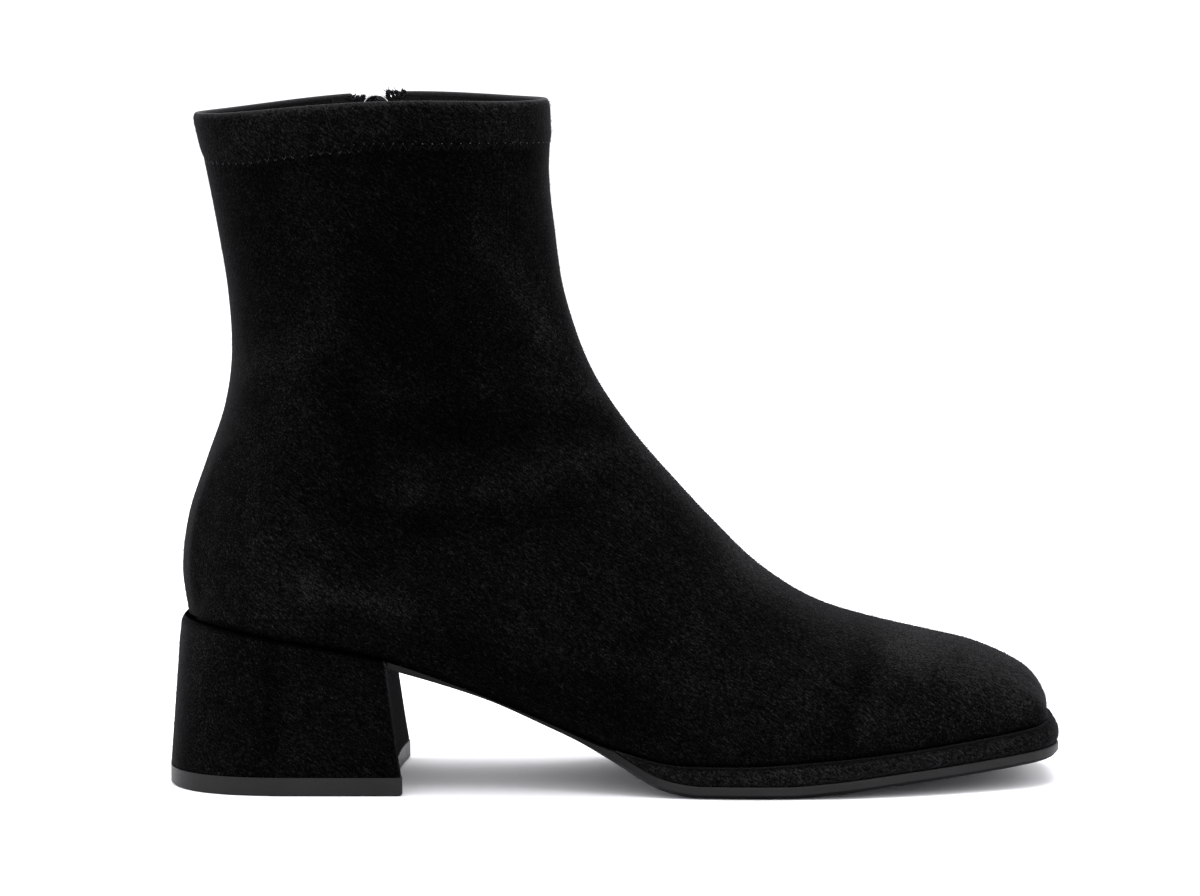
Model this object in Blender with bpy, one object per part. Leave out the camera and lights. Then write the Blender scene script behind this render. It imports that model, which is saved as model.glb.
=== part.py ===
"""A suede sock boot with a block heel, for the right foot.

Tables and sizes are in millimetres and the meshes in metres. +X points to the toe, -Y to the outer side of
the foot and +Z up. The boot stands on z = 0, with its origin under the middle of its length and width.
"""

import math
from collections import namedtuple

import bmesh
import bpy
from mathutils import Vector

MM = 0.001
GAP = 0.3
AXIS_Y = -4.6
WELD = 0.01
SEARCH_STOP = 1e-4
SHARP_ANGLE = 40.0
ARC_STEPS = 8

WALL = 1.8
HEM_STEP = 0.5
HEM_SLOPE = 1.0
EASE_SHARE = 0.5
EASE_ROUNDS = 5

SOLE_THICK = 2.7
SOLE_EDGE_ROUND = 0.7
MIDSOLE_END_X = 0.0
INSOLE_THICK = 3.0
INSOLE_CLEAR = 0.6
BREAST_X = -64.5

TOP_PIECE_THICK = 5.3
TOP_PIECE_ROUND = 0.5
HEEL_ARC_X = -88.0
BREAST_CORNER = 1.4
BREAST_HOLLOW = 2.4
SEAT_HOLLOW = 0.15
BREAST_PROUD = 0.2

ZIP_TOP_X = -69.6
ZIP_FOOT_X = -62.0
ZIP_TOP_Z = 194.7
ZIP_FOOT_Z = 66.7
ZIP_SHAPE_TOP_Z = 192.7
SLIT_WIDTH = 10.6
SLIT_TOP_WIDTH = 13.8
SLIT_TOP_Z = 207.7
SLIT_CUT_Y = 60.0
TAPE_WIDTH = 26.0
TAPE_THICK = 0.7
TAPE_CLEAR = 0.5
TAPE_TOP_DROP = 0.4
TAPE_NOTCH_WIDTH = 6.4
TAPE_NOTCH_DEPTH = 7.6
CHAIN_WIDTH = 5.2
CHAIN_FOOT_DROP = 3.5
CHAIN_DEPTH = 0.35
CHAIN_THICK = 1.4

SLIDER_Z = 190.2
SLIDER_LENGTH = 10.0
SLIDER_TOP_WIDTH = 7.4
SLIDER_FOOT_WIDTH = 6.2
SLIDER_SHOULDER = 0.4
SLIDER_PLATE = 1.2
SLIDER_BACK_DEPTH = 3.8
POST_WIDTH = 2.0
POST_FROM = 1.2
POST_TO = 4.4
BAIL_RADIUS = 3.2
BAIL_BAR = 1.2
BAIL_WIDTH = 2.0
PULL_LENGTH = 22.0
PULL_WIDTH = 5.4
PULL_THICK = 1.1
PULL_BAR = 1.1
PULL_WINDOW_WIDTH = 3.0
PULL_WINDOW_LENGTH = 4.2
PIN_RISE = 1.1

LOW_STEPS = 6
HIGH_STEPS = 10
SECTIONS_PER_ROW = 2
OUTSOLE_STATIONS = 44
MIDSOLE_STATIONS = 30
INSOLE_STATIONS = 40
HEEL_ARC_STEPS = 12
HEEL_SIDE_STEPS = 4
ZIP_STATIONS = 22

Finish = namedtuple("Finish", "colour roughness metallic")
SUEDE = Finish((0.012, 0.012, 0.013, 1.0), 0.95, 0.0)
SOLE_RUBBER = Finish((0.020, 0.020, 0.022, 1.0), 0.5, 0.0)
LIFT_RUBBER = Finish((0.020, 0.020, 0.022, 1.0), 0.45, 0.0)
LINING = Finish((0.030, 0.028, 0.027, 1.0), 0.8, 0.0)
TAPE_CLOTH = Finish((0.015, 0.015, 0.016, 1.0), 0.9, 0.0)
COIL = Finish((0.015, 0.015, 0.016, 1.0), 0.5, 0.0)
STEEL = Finish((0.55, 0.55, 0.57, 1.0), 0.3, 1.0)

# A section of the upper lies in the plane through its base, on the feather line or the back seam, and its
# crest, on the ridge of the foot or the front of the shaft. Swing is how far its middle lies towards the inner
# side, base_half and wide_half are its half widths at the base and at the widest, wide_at is where that lies on
# the way from base (0) to crest (1), and fill is how much fuller than an ellipse it is above that.
Section = namedtuple("Section", "base_x base_z crest_x crest_z swing base_half wide_half wide_at fill")

SECTIONS = [
    Section(123.9, 17.9, 123.9, 18.0, 5.5, 9.5, 9.5, 0.30, 0.14),
    Section(123.4, 17.8, 124.0, 21.5, 5.6, 13.2, 13.4, 0.30, 0.14),
    Section(121.4, 17.3, 122.8, 25.7, 5.8, 17.8, 18.2, 0.30, 0.14),
    Section(118.0, 16.7, 119.5, 30.1, 6.3, 21.7, 22.3, 0.30, 0.135),
    Section(112.0, 15.9, 113.0, 34.2, 6.7, 25.3, 26.2, 0.30, 0.12),
    Section(104.0, 14.9, 103.5, 38.2, 6.7, 28.7, 29.9, 0.30, 0.09),
    Section(93.0, 13.6, 91.0, 41.3, 6.4, 32.6, 34.1, 0.28, 0.06),
    Section(78.0, 12.0, 75.0, 45.0, 5.9, 36.3, 38.0, 0.25, 0.02),
    Section(60.0, 10.5, 57.5, 50.7, 5.1, 38.7, 40.4, 0.22, -0.02),
    Section(40.0, 9.1, 41.0, 61.3, 4.0, 38.6, 40.3, 0.20, -0.045),
    Section(20.0, 9.0, 27.5, 74.6, 2.4, 36.0, 38.0, 0.20, -0.06),
    Section(0.0, 13.1, 16.5, 86.7, 0.4, 31.0, 34.4, 0.22, -0.065),
    Section(-22.0, 21.8, 7.0, 97.7, -1.1, 26.2, 32.0, 0.26, -0.065),
    Section(-45.0, 31.0, -0.5, 107.7, -1.0, 25.6, 31.2, 0.30, -0.06),
    Section(-67.0, 38.9, -6.0, 116.4, -0.4, 27.9, 31.6, 0.31, -0.055),
    Section(-86.0, 42.7, -9.8, 124.7, 0.0, 29.0, 32.0, 0.30, -0.045),
    Section(-101.0, 45.2, -12.2, 131.5, 0.0, 27.0, 32.1, 0.29, -0.04),
    Section(-112.5, 47.0, -13.8, 136.7, 0.0, 21.3, 32.1, 0.28, -0.03),
    Section(-119.6, 48.0, -14.9, 140.9, 0.0, 13.0, 32.0, 0.28, -0.025),
    Section(-122.6, 48.4, -15.6, 144.2, 0.0, 0.0, 31.9, 0.28, -0.02),
    Section(-124.2, 61.2, -16.2, 148.2, 0.0, 0.0, 31.7, 0.30, -0.01),
    Section(-122.3, 76.7, -16.8, 152.5, 0.0, 0.0, 31.4, 0.33, 0.0),
    Section(-117.0, 92.7, -17.3, 157.0, 0.0, 0.0, 31.0, 0.37, 0.0),
    Section(-111.6, 108.7, -17.9, 161.7, 0.0, 0.0, 30.6, 0.41, 0.005),
    Section(-109.6, 124.7, -18.5, 166.5, 0.0, 0.0, 30.3, 0.44, 0.01),
    Section(-110.7, 141.7, -18.9, 171.3, 0.0, 0.0, 30.2, 0.46, 0.01),
    Section(-113.4, 158.7, -19.1, 175.9, 0.0, 0.0, 30.3, 0.48, 0.015),
    Section(-117.2, 178.7, -18.9, 182.5, 0.0, 0.0, 30.7, 0.49, 0.02),
    Section(-120.1, 191.5, -19.3, 195.7, 0.0, 0.0, 31.1, 0.50, 0.02),
]
HEEL_ROW = 19
HEM_ROW = 27

# How much the collar rises in the middle of each side of the foot, and how fast that falls off.
CollarSide = namedtuple("CollarSide", "side lift fall")
OUTER_COLLAR = CollarSide(-1, 2.3, 4.0)
INNER_COLLAR = CollarSide(1, 2.4, 4.0)

# Where sections fan out from a corner of the feather line, their grid is eased between these rows and steps.
Eased = namedtuple("Eased", "first_row last_row first_step last_step")
EASED = [
    Eased(0, 5, 2, 13),
    Eased(17, 22, 2, 5),
]

# Height of the walking face along the sole: toe spring, the flat spot under the ball, the arch to the heel.
Tread = namedtuple("Tread", "x z")
TREAD = [
    Tread(130.0, 8.0),
    Tread(108.0, 5.7),
    Tread(80.0, 2.9),
    Tread(63.0, 1.1),
    Tread(48.0, 0.0),
    Tread(24.0, 0.0),
    Tread(18.0, 0.6),
    Tread(12.3, 2.0),
    Tread(6.7, 4.8),
    Tread(1.0, 8.4),
    Tread(-10.0, 14.9),
    Tread(-22.0, 20.4),
    Tread(-36.0, 26.5),
    Tread(-50.0, 31.2),
    Tread(-66.0, 36.1),
]

# How the walking face is bevelled up to the edge of the sole: how far in the bevel starts and how much it rises.
Bevel = namedtuple("Bevel", "x wide rise")
BEVEL = [
    Bevel(130.0, 7.0, 0.7),
    Bevel(10.0, 7.0, 0.7),
    Bevel(-20.0, 1.2, 0.0),
    Bevel(-66.0, 1.2, 0.0),
]

# How far the sole stands out past the foot of the upper.
Rim = namedtuple("Rim", "x out")
RIM = [
    Rim(130.0, 3.2),
    Rim(60.0, 2.9),
    Rim(25.0, 2.6),
    Rim(0.0, 1.3),
    Rim(-25.0, 0.1),
    Rim(-66.0, -0.4),
]

# The side of the covered midsole, from its lower edge (0) to its top (1): how much of the rim it draws in.
EdgeLevel = namedtuple("EdgeLevel", "rise draw_in")
MIDSOLE_EDGE = [
    EdgeLevel(0.0, 0.25),
    EdgeLevel(0.2, 0.02),
    EdgeLevel(0.55, 0.0),
    EdgeLevel(0.75, 0.1),
    EdgeLevel(0.88, 0.29),
    EdgeLevel(0.96, 0.52),
    EdgeLevel(1.0, 0.85),
]

# Outlines of the heel from its lower face (0) to its seat (1). Square rises from 2, an ellipse, as the back
# gets squarer in plan.
HeelLevel = namedtuple("HeelLevel", "rise back_x breast_x half square")
HEEL_LEVELS = [
    HeelLevel(0.0, -127.8, -60.7, 31.3, 2.7),
    HeelLevel(0.35, -126.7, -62.4, 31.0, 2.55),
    HeelLevel(0.7, -125.6, -64.0, 30.7, 2.4),
    HeelLevel(0.9, -124.9, -64.9, 30.5, 2.3),
    HeelLevel(0.975, -124.3, -65.3, 30.3, 2.25),
    HeelLevel(1.0, -123.5, -66.1, 29.6, 2.2),
]
TOP_PIECE = HeelLevel(0.0, -127.9, -60.4, 31.5, 2.7)

# The edge of the closed chain, as shares of its half width and of its thickness from the outside in.
ChainPoint = namedtuple("ChainPoint", "across depth")
CHAIN_RING = [
    ChainPoint(-1.0, 0.5),
    ChainPoint(-0.75, 0.1),
    ChainPoint(0.0, 0.0),
    ChainPoint(0.75, 0.1),
    ChainPoint(1.0, 0.5),
    ChainPoint(0.75, 0.95),
    ChainPoint(0.0, 1.0),
    ChainPoint(-0.75, 0.95),
]


def smooth_curve(knots, values, level_ends=False):
    """A curve through values at rising knots. It is level at a peak, on a flat and, if asked, at its ends."""
    steps = [b - a for a, b in zip(knots, knots[1:])]
    rates = [(b - a) / step for a, b, step in zip(values, values[1:], steps)]
    slopes = [0.0 if level_ends else rates[0]]
    for before, after, step_before, step_after in zip(rates, rates[1:], steps, steps[1:]):
        mean = (step_after * before + step_before * after) / (step_before + step_after)
        slopes.append(mean if before * after > 0 else 0.0)
    slopes.append(0.0 if level_ends else rates[-1])

    def value(at):
        i = max(k for k in range(len(steps)) if k == 0 or knots[k] <= at)
        step = steps[i]
        u = min(max((at - knots[i]) / step, 0.0), 1.0)
        bend = (1 - u) * slopes[i] * step - u * slopes[i + 1] * step
        turn = (1 - 2 * u) * (values[i + 1] - values[i])
        return values[i] + u * (values[i + 1] - values[i]) + u * (1 - u) * (bend - turn)

    return value


def curve_over_x(rows, field):
    """One column of a table as a curve over x."""
    ordered = sorted(rows)
    return smooth_curve([row.x for row in ordered], [getattr(row, field) for row in ordered])


def section_runs():
    """Where each section lies along the upper, measured over its base and its crest from the toe."""
    runs = [0.0]
    for before, after in zip(SECTIONS, SECTIONS[1:]):
        base = math.dist((before.base_x, before.base_z, before.base_half),
                         (after.base_x, after.base_z, after.base_half))
        crest = math.dist((before.crest_x, before.crest_z), (after.crest_x, after.crest_z))
        runs.append(runs[-1] + base + crest)
    return runs


RUNS = section_runs()
FOOT_RUNS = RUNS[:HEEL_ROW + 1]
SHAFT_RUNS = RUNS[HEEL_ROW:]


def section_column(field):
    """One column of the section table as a curve along the upper, broken where the base turns up the back."""
    values = [getattr(row, field) for row in SECTIONS]
    if not field.startswith("base"):
        return smooth_curve(RUNS, values)
    foot = smooth_curve(FOOT_RUNS, values[:HEEL_ROW + 1], level_ends=field != "base_half")
    shaft = smooth_curve(SHAFT_RUNS, values[HEEL_ROW:])
    return lambda run: foot(run) if run <= RUNS[HEEL_ROW] else shaft(run)


COLUMNS = [section_column(field) for field in Section._fields]
tread_height = curve_over_x(TREAD, "z")
bevel_width = curve_over_x(BEVEL, "wide")
bevel_rise = curve_over_x(BEVEL, "rise")
rim_width = curve_over_x(RIM, "out")


def section_at(run):
    return Section(*(column(run) for column in COLUMNS))


def half_width(row, reach):
    """Half width of a section at a reach from its base (0) to its crest (1)."""
    if reach < row.wide_at:
        tuck = 1 - (row.base_half / row.wide_half) ** 2
        return row.wide_half * math.sqrt(1 - tuck * (1 - reach / row.wide_at) ** 2)
    rise = min((reach - row.wide_at) / (1 - row.wide_at), 1.0) ** 2
    return row.wide_half * math.sqrt(1 - rise) * (1 + 4 * row.fill * rise * (1 - rise))


def reach_of(row, step):
    """The reach of a grid step, with the steps closer together where the section turns faster."""
    if step < LOW_STEPS:
        share = 1 - step / LOW_STEPS
        tuck = math.acos(min(row.base_half / row.wide_half, 1.0))
        drop = math.sin(tuck * share) / math.sin(tuck) if tuck > 0 else share
        return row.wide_at * (1 - drop)
    rise = math.sin((step - LOW_STEPS) / HIGH_STEPS * math.pi / 2)
    return row.wide_at + (1 - row.wide_at) * rise


def skin_point(run, step, side):
    """A point of the upper's outside: side is -1 for the outer and 1 for the inner side of the foot."""
    row = section_at(run)
    reach = reach_of(row, step)
    half = half_width(row, reach)
    in_hem = max(0.0, (run - RUNS[HEM_ROW]) / (RUNS[-1] - RUNS[HEM_ROW]))
    collar = INNER_COLLAR if side == INNER_COLLAR.side else OUTER_COLLAR
    lift = collar.lift * in_hem * (half / row.wide_half) ** collar.fall
    return (row.base_x + reach * (row.crest_x - row.base_x),
            AXIS_Y + row.swing + side * half,
            row.base_z + reach * (row.crest_z - row.base_z) + lift)


def run_through(x, z):
    """The run of the section whose plane holds a point seen from the side."""
    low, high = 0.0, RUNS[-1]
    while high - low > SEARCH_STOP:
        run = (low + high) / 2
        row = section_at(run)
        ahead = (row.crest_x - row.base_x) * (z - row.base_z) - (row.crest_z - row.base_z) * (x - row.base_x)
        if ahead > 0:
            low = run
        else:
            high = run
    return low


def inner_side(x, z):
    """The y of the upper's outside, without its hem, on the inner side of the foot."""
    row = section_at(run_through(x, z))
    span = (row.crest_x - row.base_x, row.crest_z - row.base_z)
    along = (x - row.base_x) * span[0] + (z - row.base_z) * span[1]
    return AXIS_Y + row.swing + half_width(row, along / (span[0] ** 2 + span[1] ** 2))


def run_at_base(x):
    """The run of the foot's section whose base lies at x."""
    low, high = 0.0, RUNS[HEEL_ROW]
    while high - low > SEARCH_STOP:
        run = (low + high) / 2
        if section_at(run).base_x > x:
            low = run
        else:
            high = run
    return low


def feather_height(x):
    """Height of the foot of the upper at x."""
    return section_at(run_at_base(x)).base_z


def sole_edge(x):
    """Height of the lower edge of the sole, above the bevel round the walking face."""
    return tread_height(x) + bevel_rise(x)


def outsole_top(x):
    return min(sole_edge(x) + SOLE_THICK, feather_height(x) - GAP)


def feather_stations(end_x, count):
    """Points of the feather line from the toe back to end_x: the outer and inner points, as (x, y) pairs."""
    end = run_at_base(end_x)
    rows = [section_at(end * k / (count - 1)) for k in range(count)]
    outer = [(row.base_x, AXIS_Y + row.swing - row.base_half) for row in rows]
    inner = [(row.base_x, AXIS_Y + row.swing + row.base_half) for row in rows]
    return outer, inner


def set_off(points, side, distance, closes):
    """A side of an outline moved out by distance(x). It starts square to X, and ends so if it closes."""
    first = (points[1][0], 2 * points[0][1] - points[1][1])
    last = (points[-2][0], 2 * points[-1][1] - points[-2][1]) if closes else points[-1]
    run = [first] + points + [last]
    moved = []
    for before, point, after in zip(run, points, run[2:]):
        along = Vector((after[0] - before[0], after[1] - before[1])).normalized()
        out = Vector((-along.y, along.x)) * -side
        moved.append((point[0] + out.x * distance(point[0]), point[1] + out.y * distance(point[0])))
    return moved


def sole_ring(stations, distance, height, closes=False):
    """A ring of an outline set off from the feather line, at height(x)."""
    outer = set_off(stations[0], -1, distance, closes)
    inner = set_off(stations[1], 1, distance, closes)
    return [(x, y, height(x)) for x, y in outer + inner[::-1]]


def metres(point):
    return [value * MM for value in point]


def stack(bm, rings):
    """A solid through rings that run up one side of an outline and down the other, closed by strips across."""
    loops = [[bm.verts.new(metres(point)) for point in ring] for ring in rings]
    count = len(rings[0])
    for low, high in zip(loops, loops[1:]):
        for i in range(count):
            j = (i + 1) % count
            bm.faces.new((low[i], low[j], high[j], high[i]))
    for loop in (loops[0], loops[-1]):
        for i in range(count // 2 - 1):
            bm.faces.new((loop[i], loop[i + 1], loop[count - 2 - i], loop[count - 1 - i]))


def finish_in(name, bm, finish, closed=True):
    """The bmesh as a named object with a material of its own."""
    bmesh.ops.remove_doubles(bm, verts=bm.verts, dist=WELD * MM)
    bmesh.ops.dissolve_degenerate(bm, edges=bm.edges, dist=WELD * MM)
    if closed:
        bmesh.ops.recalc_face_normals(bm, faces=bm.faces)
    mesh = bpy.data.meshes.new(name)
    bm.to_mesh(mesh)
    bm.free()
    mesh.shade_smooth()
    mesh.set_sharp_from_angle(angle=math.radians(SHARP_ANGLE))
    material = bpy.data.materials.new(name)
    material.use_nodes = True
    shader = material.node_tree.nodes["Principled BSDF"]
    shader.inputs["Base Color"].default_value = finish.colour
    shader.inputs["Roughness"].default_value = finish.roughness
    shader.inputs["Metallic"].default_value = finish.metallic
    mesh.materials.append(material)
    obj = bpy.data.objects.new(name, mesh)
    bpy.context.scene.collection.objects.link(obj)
    return obj


def combine(obj, operation, bm):
    """Cuts a bmesh from an object, or joins it on."""
    bmesh.ops.recalc_face_normals(bm, faces=bm.faces)
    mesh = bpy.data.meshes.new(obj.name + "_" + operation.lower())
    bm.to_mesh(mesh)
    bm.free()
    other = bpy.data.objects.new(mesh.name, mesh)
    bpy.context.scene.collection.objects.link(other)
    other.hide_render = True
    other.display_type = "WIRE"
    boolean = obj.modifiers.new(operation.title(), "BOOLEAN")
    boolean.operation = operation
    boolean.solver = "EXACT"
    boolean.object = other


def prism(points, direction):
    """A flat outline drawn out along a direction."""
    bm = bmesh.new()
    face = bm.faces.new([bm.verts.new(metres(point)) for point in points])
    drawn = bmesh.ops.extrude_face_region(bm, geom=[face])["geom"]
    moved = [item for item in drawn if isinstance(item, bmesh.types.BMVert)]
    bmesh.ops.translate(bm, verts=moved, vec=metres(direction))
    bmesh.ops.recalc_face_normals(bm, faces=bm.faces)
    return bm


def block(low, high):
    """A plain box between two corners."""
    corners = [(low[0], low[1]), (high[0], low[1]), (high[0], high[1]), (low[0], high[1])]
    return prism([(x, y, low[2]) for x, y in corners], (0, 0, high[2] - low[2]))


def zip_x(z):
    """Middle of the zip at a height: it follows the middle of the shaft."""
    return ZIP_FOOT_X + (ZIP_TOP_X - ZIP_FOOT_X) * (z - ZIP_FOOT_Z) / (ZIP_TOP_Z - ZIP_FOOT_Z)


def zip_point(z, across, depth):
    """A point beside the zip's middle line, at a depth under the outside of the upper."""
    x = zip_x(z) + across
    level = min(z, ZIP_SHAPE_TOP_Z)
    y = inner_side(x, level)
    lean_x = inner_side(x + 1, level) - y
    lean_z = inner_side(x, level + 1) - y
    out = Vector((-lean_x, 1.0, -lean_z)).normalized()
    return x - out.x * depth, y - out.y * depth, z - out.z * depth


def is_eased(run, step):
    """Whether a grid point of the upper lies where its grid is eased."""
    return any(RUNS[area.first_row] < run < RUNS[area.last_row] and area.first_step <= step <= area.last_step
               for area in EASED)


def upper():
    """One wall over the whole last, open at the collar and underneath, with a hem and a slit for the zip."""
    bm = bmesh.new()
    wall = bm.verts.layers.deform.new()
    runs = []
    for start, end in zip(RUNS, RUNS[1:]):
        runs += [start + (end - start) * k / SECTIONS_PER_ROW for k in range(SECTIONS_PER_ROW)]
    hem_run = RUNS[HEM_ROW]
    runs = sorted(runs + [RUNS[-1], hem_run + HEM_SLOPE])
    steps = LOW_STEPS + HIGH_STEPS
    rows = []
    eased = []
    for run in runs:
        rows.append([])
        for place in range(-steps, steps + 1):
            step = steps - abs(place)
            vert = bm.verts.new(metres(skin_point(run, step, 1 if place > 0 else -1)))
            vert[wall][0] = 1.0 if run > hem_run else WALL / (WALL + HEM_STEP)
            rows[-1].append(vert)
            if is_eased(run, step):
                eased.append(vert)
    for low, high in zip(rows, rows[1:]):
        for i in range(2 * steps):
            bm.faces.new((low[i], low[i + 1], high[i + 1], high[i]))
    bmesh.ops.remove_doubles(bm, verts=bm.verts, dist=WELD * MM)
    eased = [vert for vert in eased if vert.is_valid and not vert.is_boundary]
    for _ in range(EASE_ROUNDS):
        bmesh.ops.smooth_vert(bm, verts=eased, factor=EASE_SHARE,
                              use_axis_x=True, use_axis_y=True, use_axis_z=True)
    bm.normal_update()
    for vert in bm.verts:
        if vert[wall][0] == 1.0:
            vert.co += vert.normal * HEM_STEP * MM
    obj = finish_in("upper", bm, SUEDE, closed=False)
    obj.vertex_groups.new(name="wall")
    shell = obj.modifiers.new("Wall", "SOLIDIFY")
    shell.thickness = (WALL + HEM_STEP) * MM
    shell.offset = -1
    shell.use_even_offset = True
    shell.use_quality_normals = True
    shell.vertex_group = "wall"
    half = SLIT_WIDTH / 2
    turns = [math.pi + math.pi * k / ARC_STEPS for k in range(ARC_STEPS + 1)]
    foot = [(ZIP_FOOT_X + half * math.cos(turn), ZIP_FOOT_Z + half * math.sin(turn)) for turn in turns]
    top_x = zip_x(SLIT_TOP_Z)
    outline = foot + [(top_x + side * SLIT_TOP_WIDTH / 2, SLIT_TOP_Z) for side in (1, -1)]
    combine(obj, "DIFFERENCE", prism([(x, 0.0, z) for x, z in outline], (0, SLIT_CUT_Y, 0)))


def outsole():
    """Thin smooth sole from the toe to the breast of the heel. Its face is bevelled up to a rounded edge."""
    stations = feather_stations(BREAST_X, OUTSOLE_STATIONS)
    edge = SOLE_EDGE_ROUND
    bm = bmesh.new()
    stack(bm, [
        sole_ring(stations, lambda x: rim_width(x) - bevel_width(x), tread_height),
        sole_ring(stations, lambda x: rim_width(x) - edge, sole_edge),
        sole_ring(stations, rim_width, lambda x: sole_edge(x) + edge),
        sole_ring(stations, rim_width, outsole_top),
    ])
    finish_in("outsole", bm, SOLE_RUBBER)


def covered_midsole():
    """Suede covered platform under the forefoot. It thins out to nothing at the waist."""
    stations = feather_stations(MIDSOLE_END_X, MIDSOLE_STATIONS)
    bm = bmesh.new()
    rings = []
    for level in MIDSOLE_EDGE:
        def height(x, rise=level.rise):
            low = outsole_top(x) + GAP
            return low + rise * (feather_height(x) - GAP - low)
        rings.append(sole_ring(stations, lambda x: rim_width(x) * (1 - level.draw_in), height))
    stack(bm, rings)
    finish_in("covered_midsole", bm, SUEDE)


def insole():
    """Insole board inside the foot of the upper, with its sock."""
    stations = feather_stations(SECTIONS[HEEL_ROW].base_x, INSOLE_STATIONS)
    bm = bmesh.new()
    rings = [
        sole_ring(stations, lambda x: -WALL - INSOLE_CLEAR, lambda x: feather_height(x) + rise, closes=True)
        for rise in (0.0, INSOLE_THICK)
    ]
    stack(bm, rings)
    finish_in("insole", bm, LINING)


def heel_ring(level, height):
    """A heel outline: an arc round the back, straight sides and rounded corners at the breast."""
    side = []
    for k in range(HEEL_ARC_STEPS + 1):
        turn = math.pi / 2 * k / HEEL_ARC_STEPS
        side.append((HEEL_ARC_X + (level.back_x - HEEL_ARC_X) * math.cos(turn) ** (2 / level.square),
                     level.half * math.sin(turn) ** (2 / level.square)))
    corner_x = level.breast_x - BREAST_CORNER
    for k in range(1, HEEL_SIDE_STEPS + 1):
        side.append((HEEL_ARC_X + (corner_x - HEEL_ARC_X) * k / HEEL_SIDE_STEPS, level.half))
    cut = BREAST_CORNER * (1 - math.sqrt(0.5))
    side.append((level.breast_x - cut, level.half - cut))
    side.append((level.breast_x, level.half - BREAST_CORNER))
    ring = [(x, AXIS_Y - y) for x, y in side] + [(x, AXIS_Y + y) for x, y in side[::-1]]
    return [(x, y, height(x)) for x, y in ring]


def scoop_ring(level, depth, height):
    """An outline of the scoop that hollows a breast in plan. Its corners stand just proud of the breast."""
    side = []
    for k in range(ARC_STEPS + 1):
        share = k / ARC_STEPS
        x = level.breast_x + BREAST_PROUD - depth * (1 - share ** 2)
        side.append((x, (level.half - BREAST_CORNER) * share))
    side.append((level.breast_x + BREAST_HOLLOW, level.half - BREAST_CORNER))
    ring = [(x, AXIS_Y - y) for x, y in side] + [(x, AXIS_Y + y) for x, y in side[::-1]]
    return [(x, y, height) for x, y in ring]


def scoop(obj, low_ring, high_ring):
    """Hollows the breast of a heel piece between two outlines of the scoop."""
    bm = bmesh.new()
    stack(bm, [low_ring, high_ring])
    bmesh.ops.remove_doubles(bm, verts=bm.verts, dist=WELD * MM)
    combine(obj, "DIFFERENCE", bm)


def heel():
    """Suede covered block under the heel seat. Its breast is hollow at the foot and flat at the seat."""
    low = TOP_PIECE_THICK + GAP
    bm = bmesh.new()
    rings = []
    for level in HEEL_LEVELS:
        rings.append(heel_ring(level, lambda x: low + level.rise * (feather_height(x) - GAP - low)))
    stack(bm, rings)
    obj = finish_in("heel", bm, SUEDE)
    foot, seat = HEEL_LEVELS[0], HEEL_LEVELS[-2]
    seat_height = low + seat.rise * (feather_height(seat.breast_x) - GAP - low)
    scoop(obj, scoop_ring(foot, BREAST_HOLLOW, low - GAP), scoop_ring(seat, SEAT_HOLLOW, seat_height))


def top_piece():
    """Rubber lift that the heel walks on."""
    edge = TOP_PIECE_ROUND
    drawn_in = TOP_PIECE._replace(back_x=TOP_PIECE.back_x + edge, breast_x=TOP_PIECE.breast_x - edge,
                                  half=TOP_PIECE.half - edge)
    bm = bmesh.new()
    stack(bm, [
        heel_ring(drawn_in, lambda x: 0.0),
        heel_ring(TOP_PIECE, lambda x: edge),
        heel_ring(TOP_PIECE, lambda x: TOP_PIECE_THICK),
    ])
    obj = finish_in("top_piece", bm, LIFT_RUBBER)
    low_ring = scoop_ring(TOP_PIECE, BREAST_HOLLOW, -GAP)
    scoop(obj, low_ring, scoop_ring(TOP_PIECE, BREAST_HOLLOW, TOP_PIECE_THICK + GAP))


def zip_tape():
    """Woven tape behind the slit, parted at the top where the slider sits."""
    bm = bmesh.new()
    depth = WALL + TAPE_CLEAR
    foot = ZIP_FOOT_Z - SLIT_WIDTH
    top = ZIP_TOP_Z - TAPE_TOP_DROP
    notch = top - TAPE_NOTCH_DEPTH
    heights = [foot + (notch - foot) * k / ZIP_STATIONS for k in range(ZIP_STATIONS)]
    heights += [notch, (notch + top) / 2, top]
    places = [-TAPE_WIDTH / 2, -TAPE_WIDTH / 3, -TAPE_NOTCH_WIDTH / 2, 0.0]
    places += [-place for place in places[-2::-1]]
    rows = [[bm.verts.new(metres(zip_point(z, across, depth))) for across in places] for z in heights]
    for z, low, high in zip(heights, rows, rows[1:]):
        for i in range(len(places) - 1):
            if z < notch or abs(places[i] + places[i + 1]) > TAPE_NOTCH_WIDTH:
                bm.faces.new((low[i + 1], low[i], high[i], high[i + 1]))
    loose = [vert for vert in bm.verts if not vert.link_faces]
    bmesh.ops.delete(bm, geom=loose, context="VERTS")
    obj = finish_in("zip_tape", bm, TAPE_CLOTH, closed=False)
    sheet = obj.modifiers.new("Cloth", "SOLIDIFY")
    sheet.thickness = TAPE_THICK * MM
    sheet.offset = -1


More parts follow.
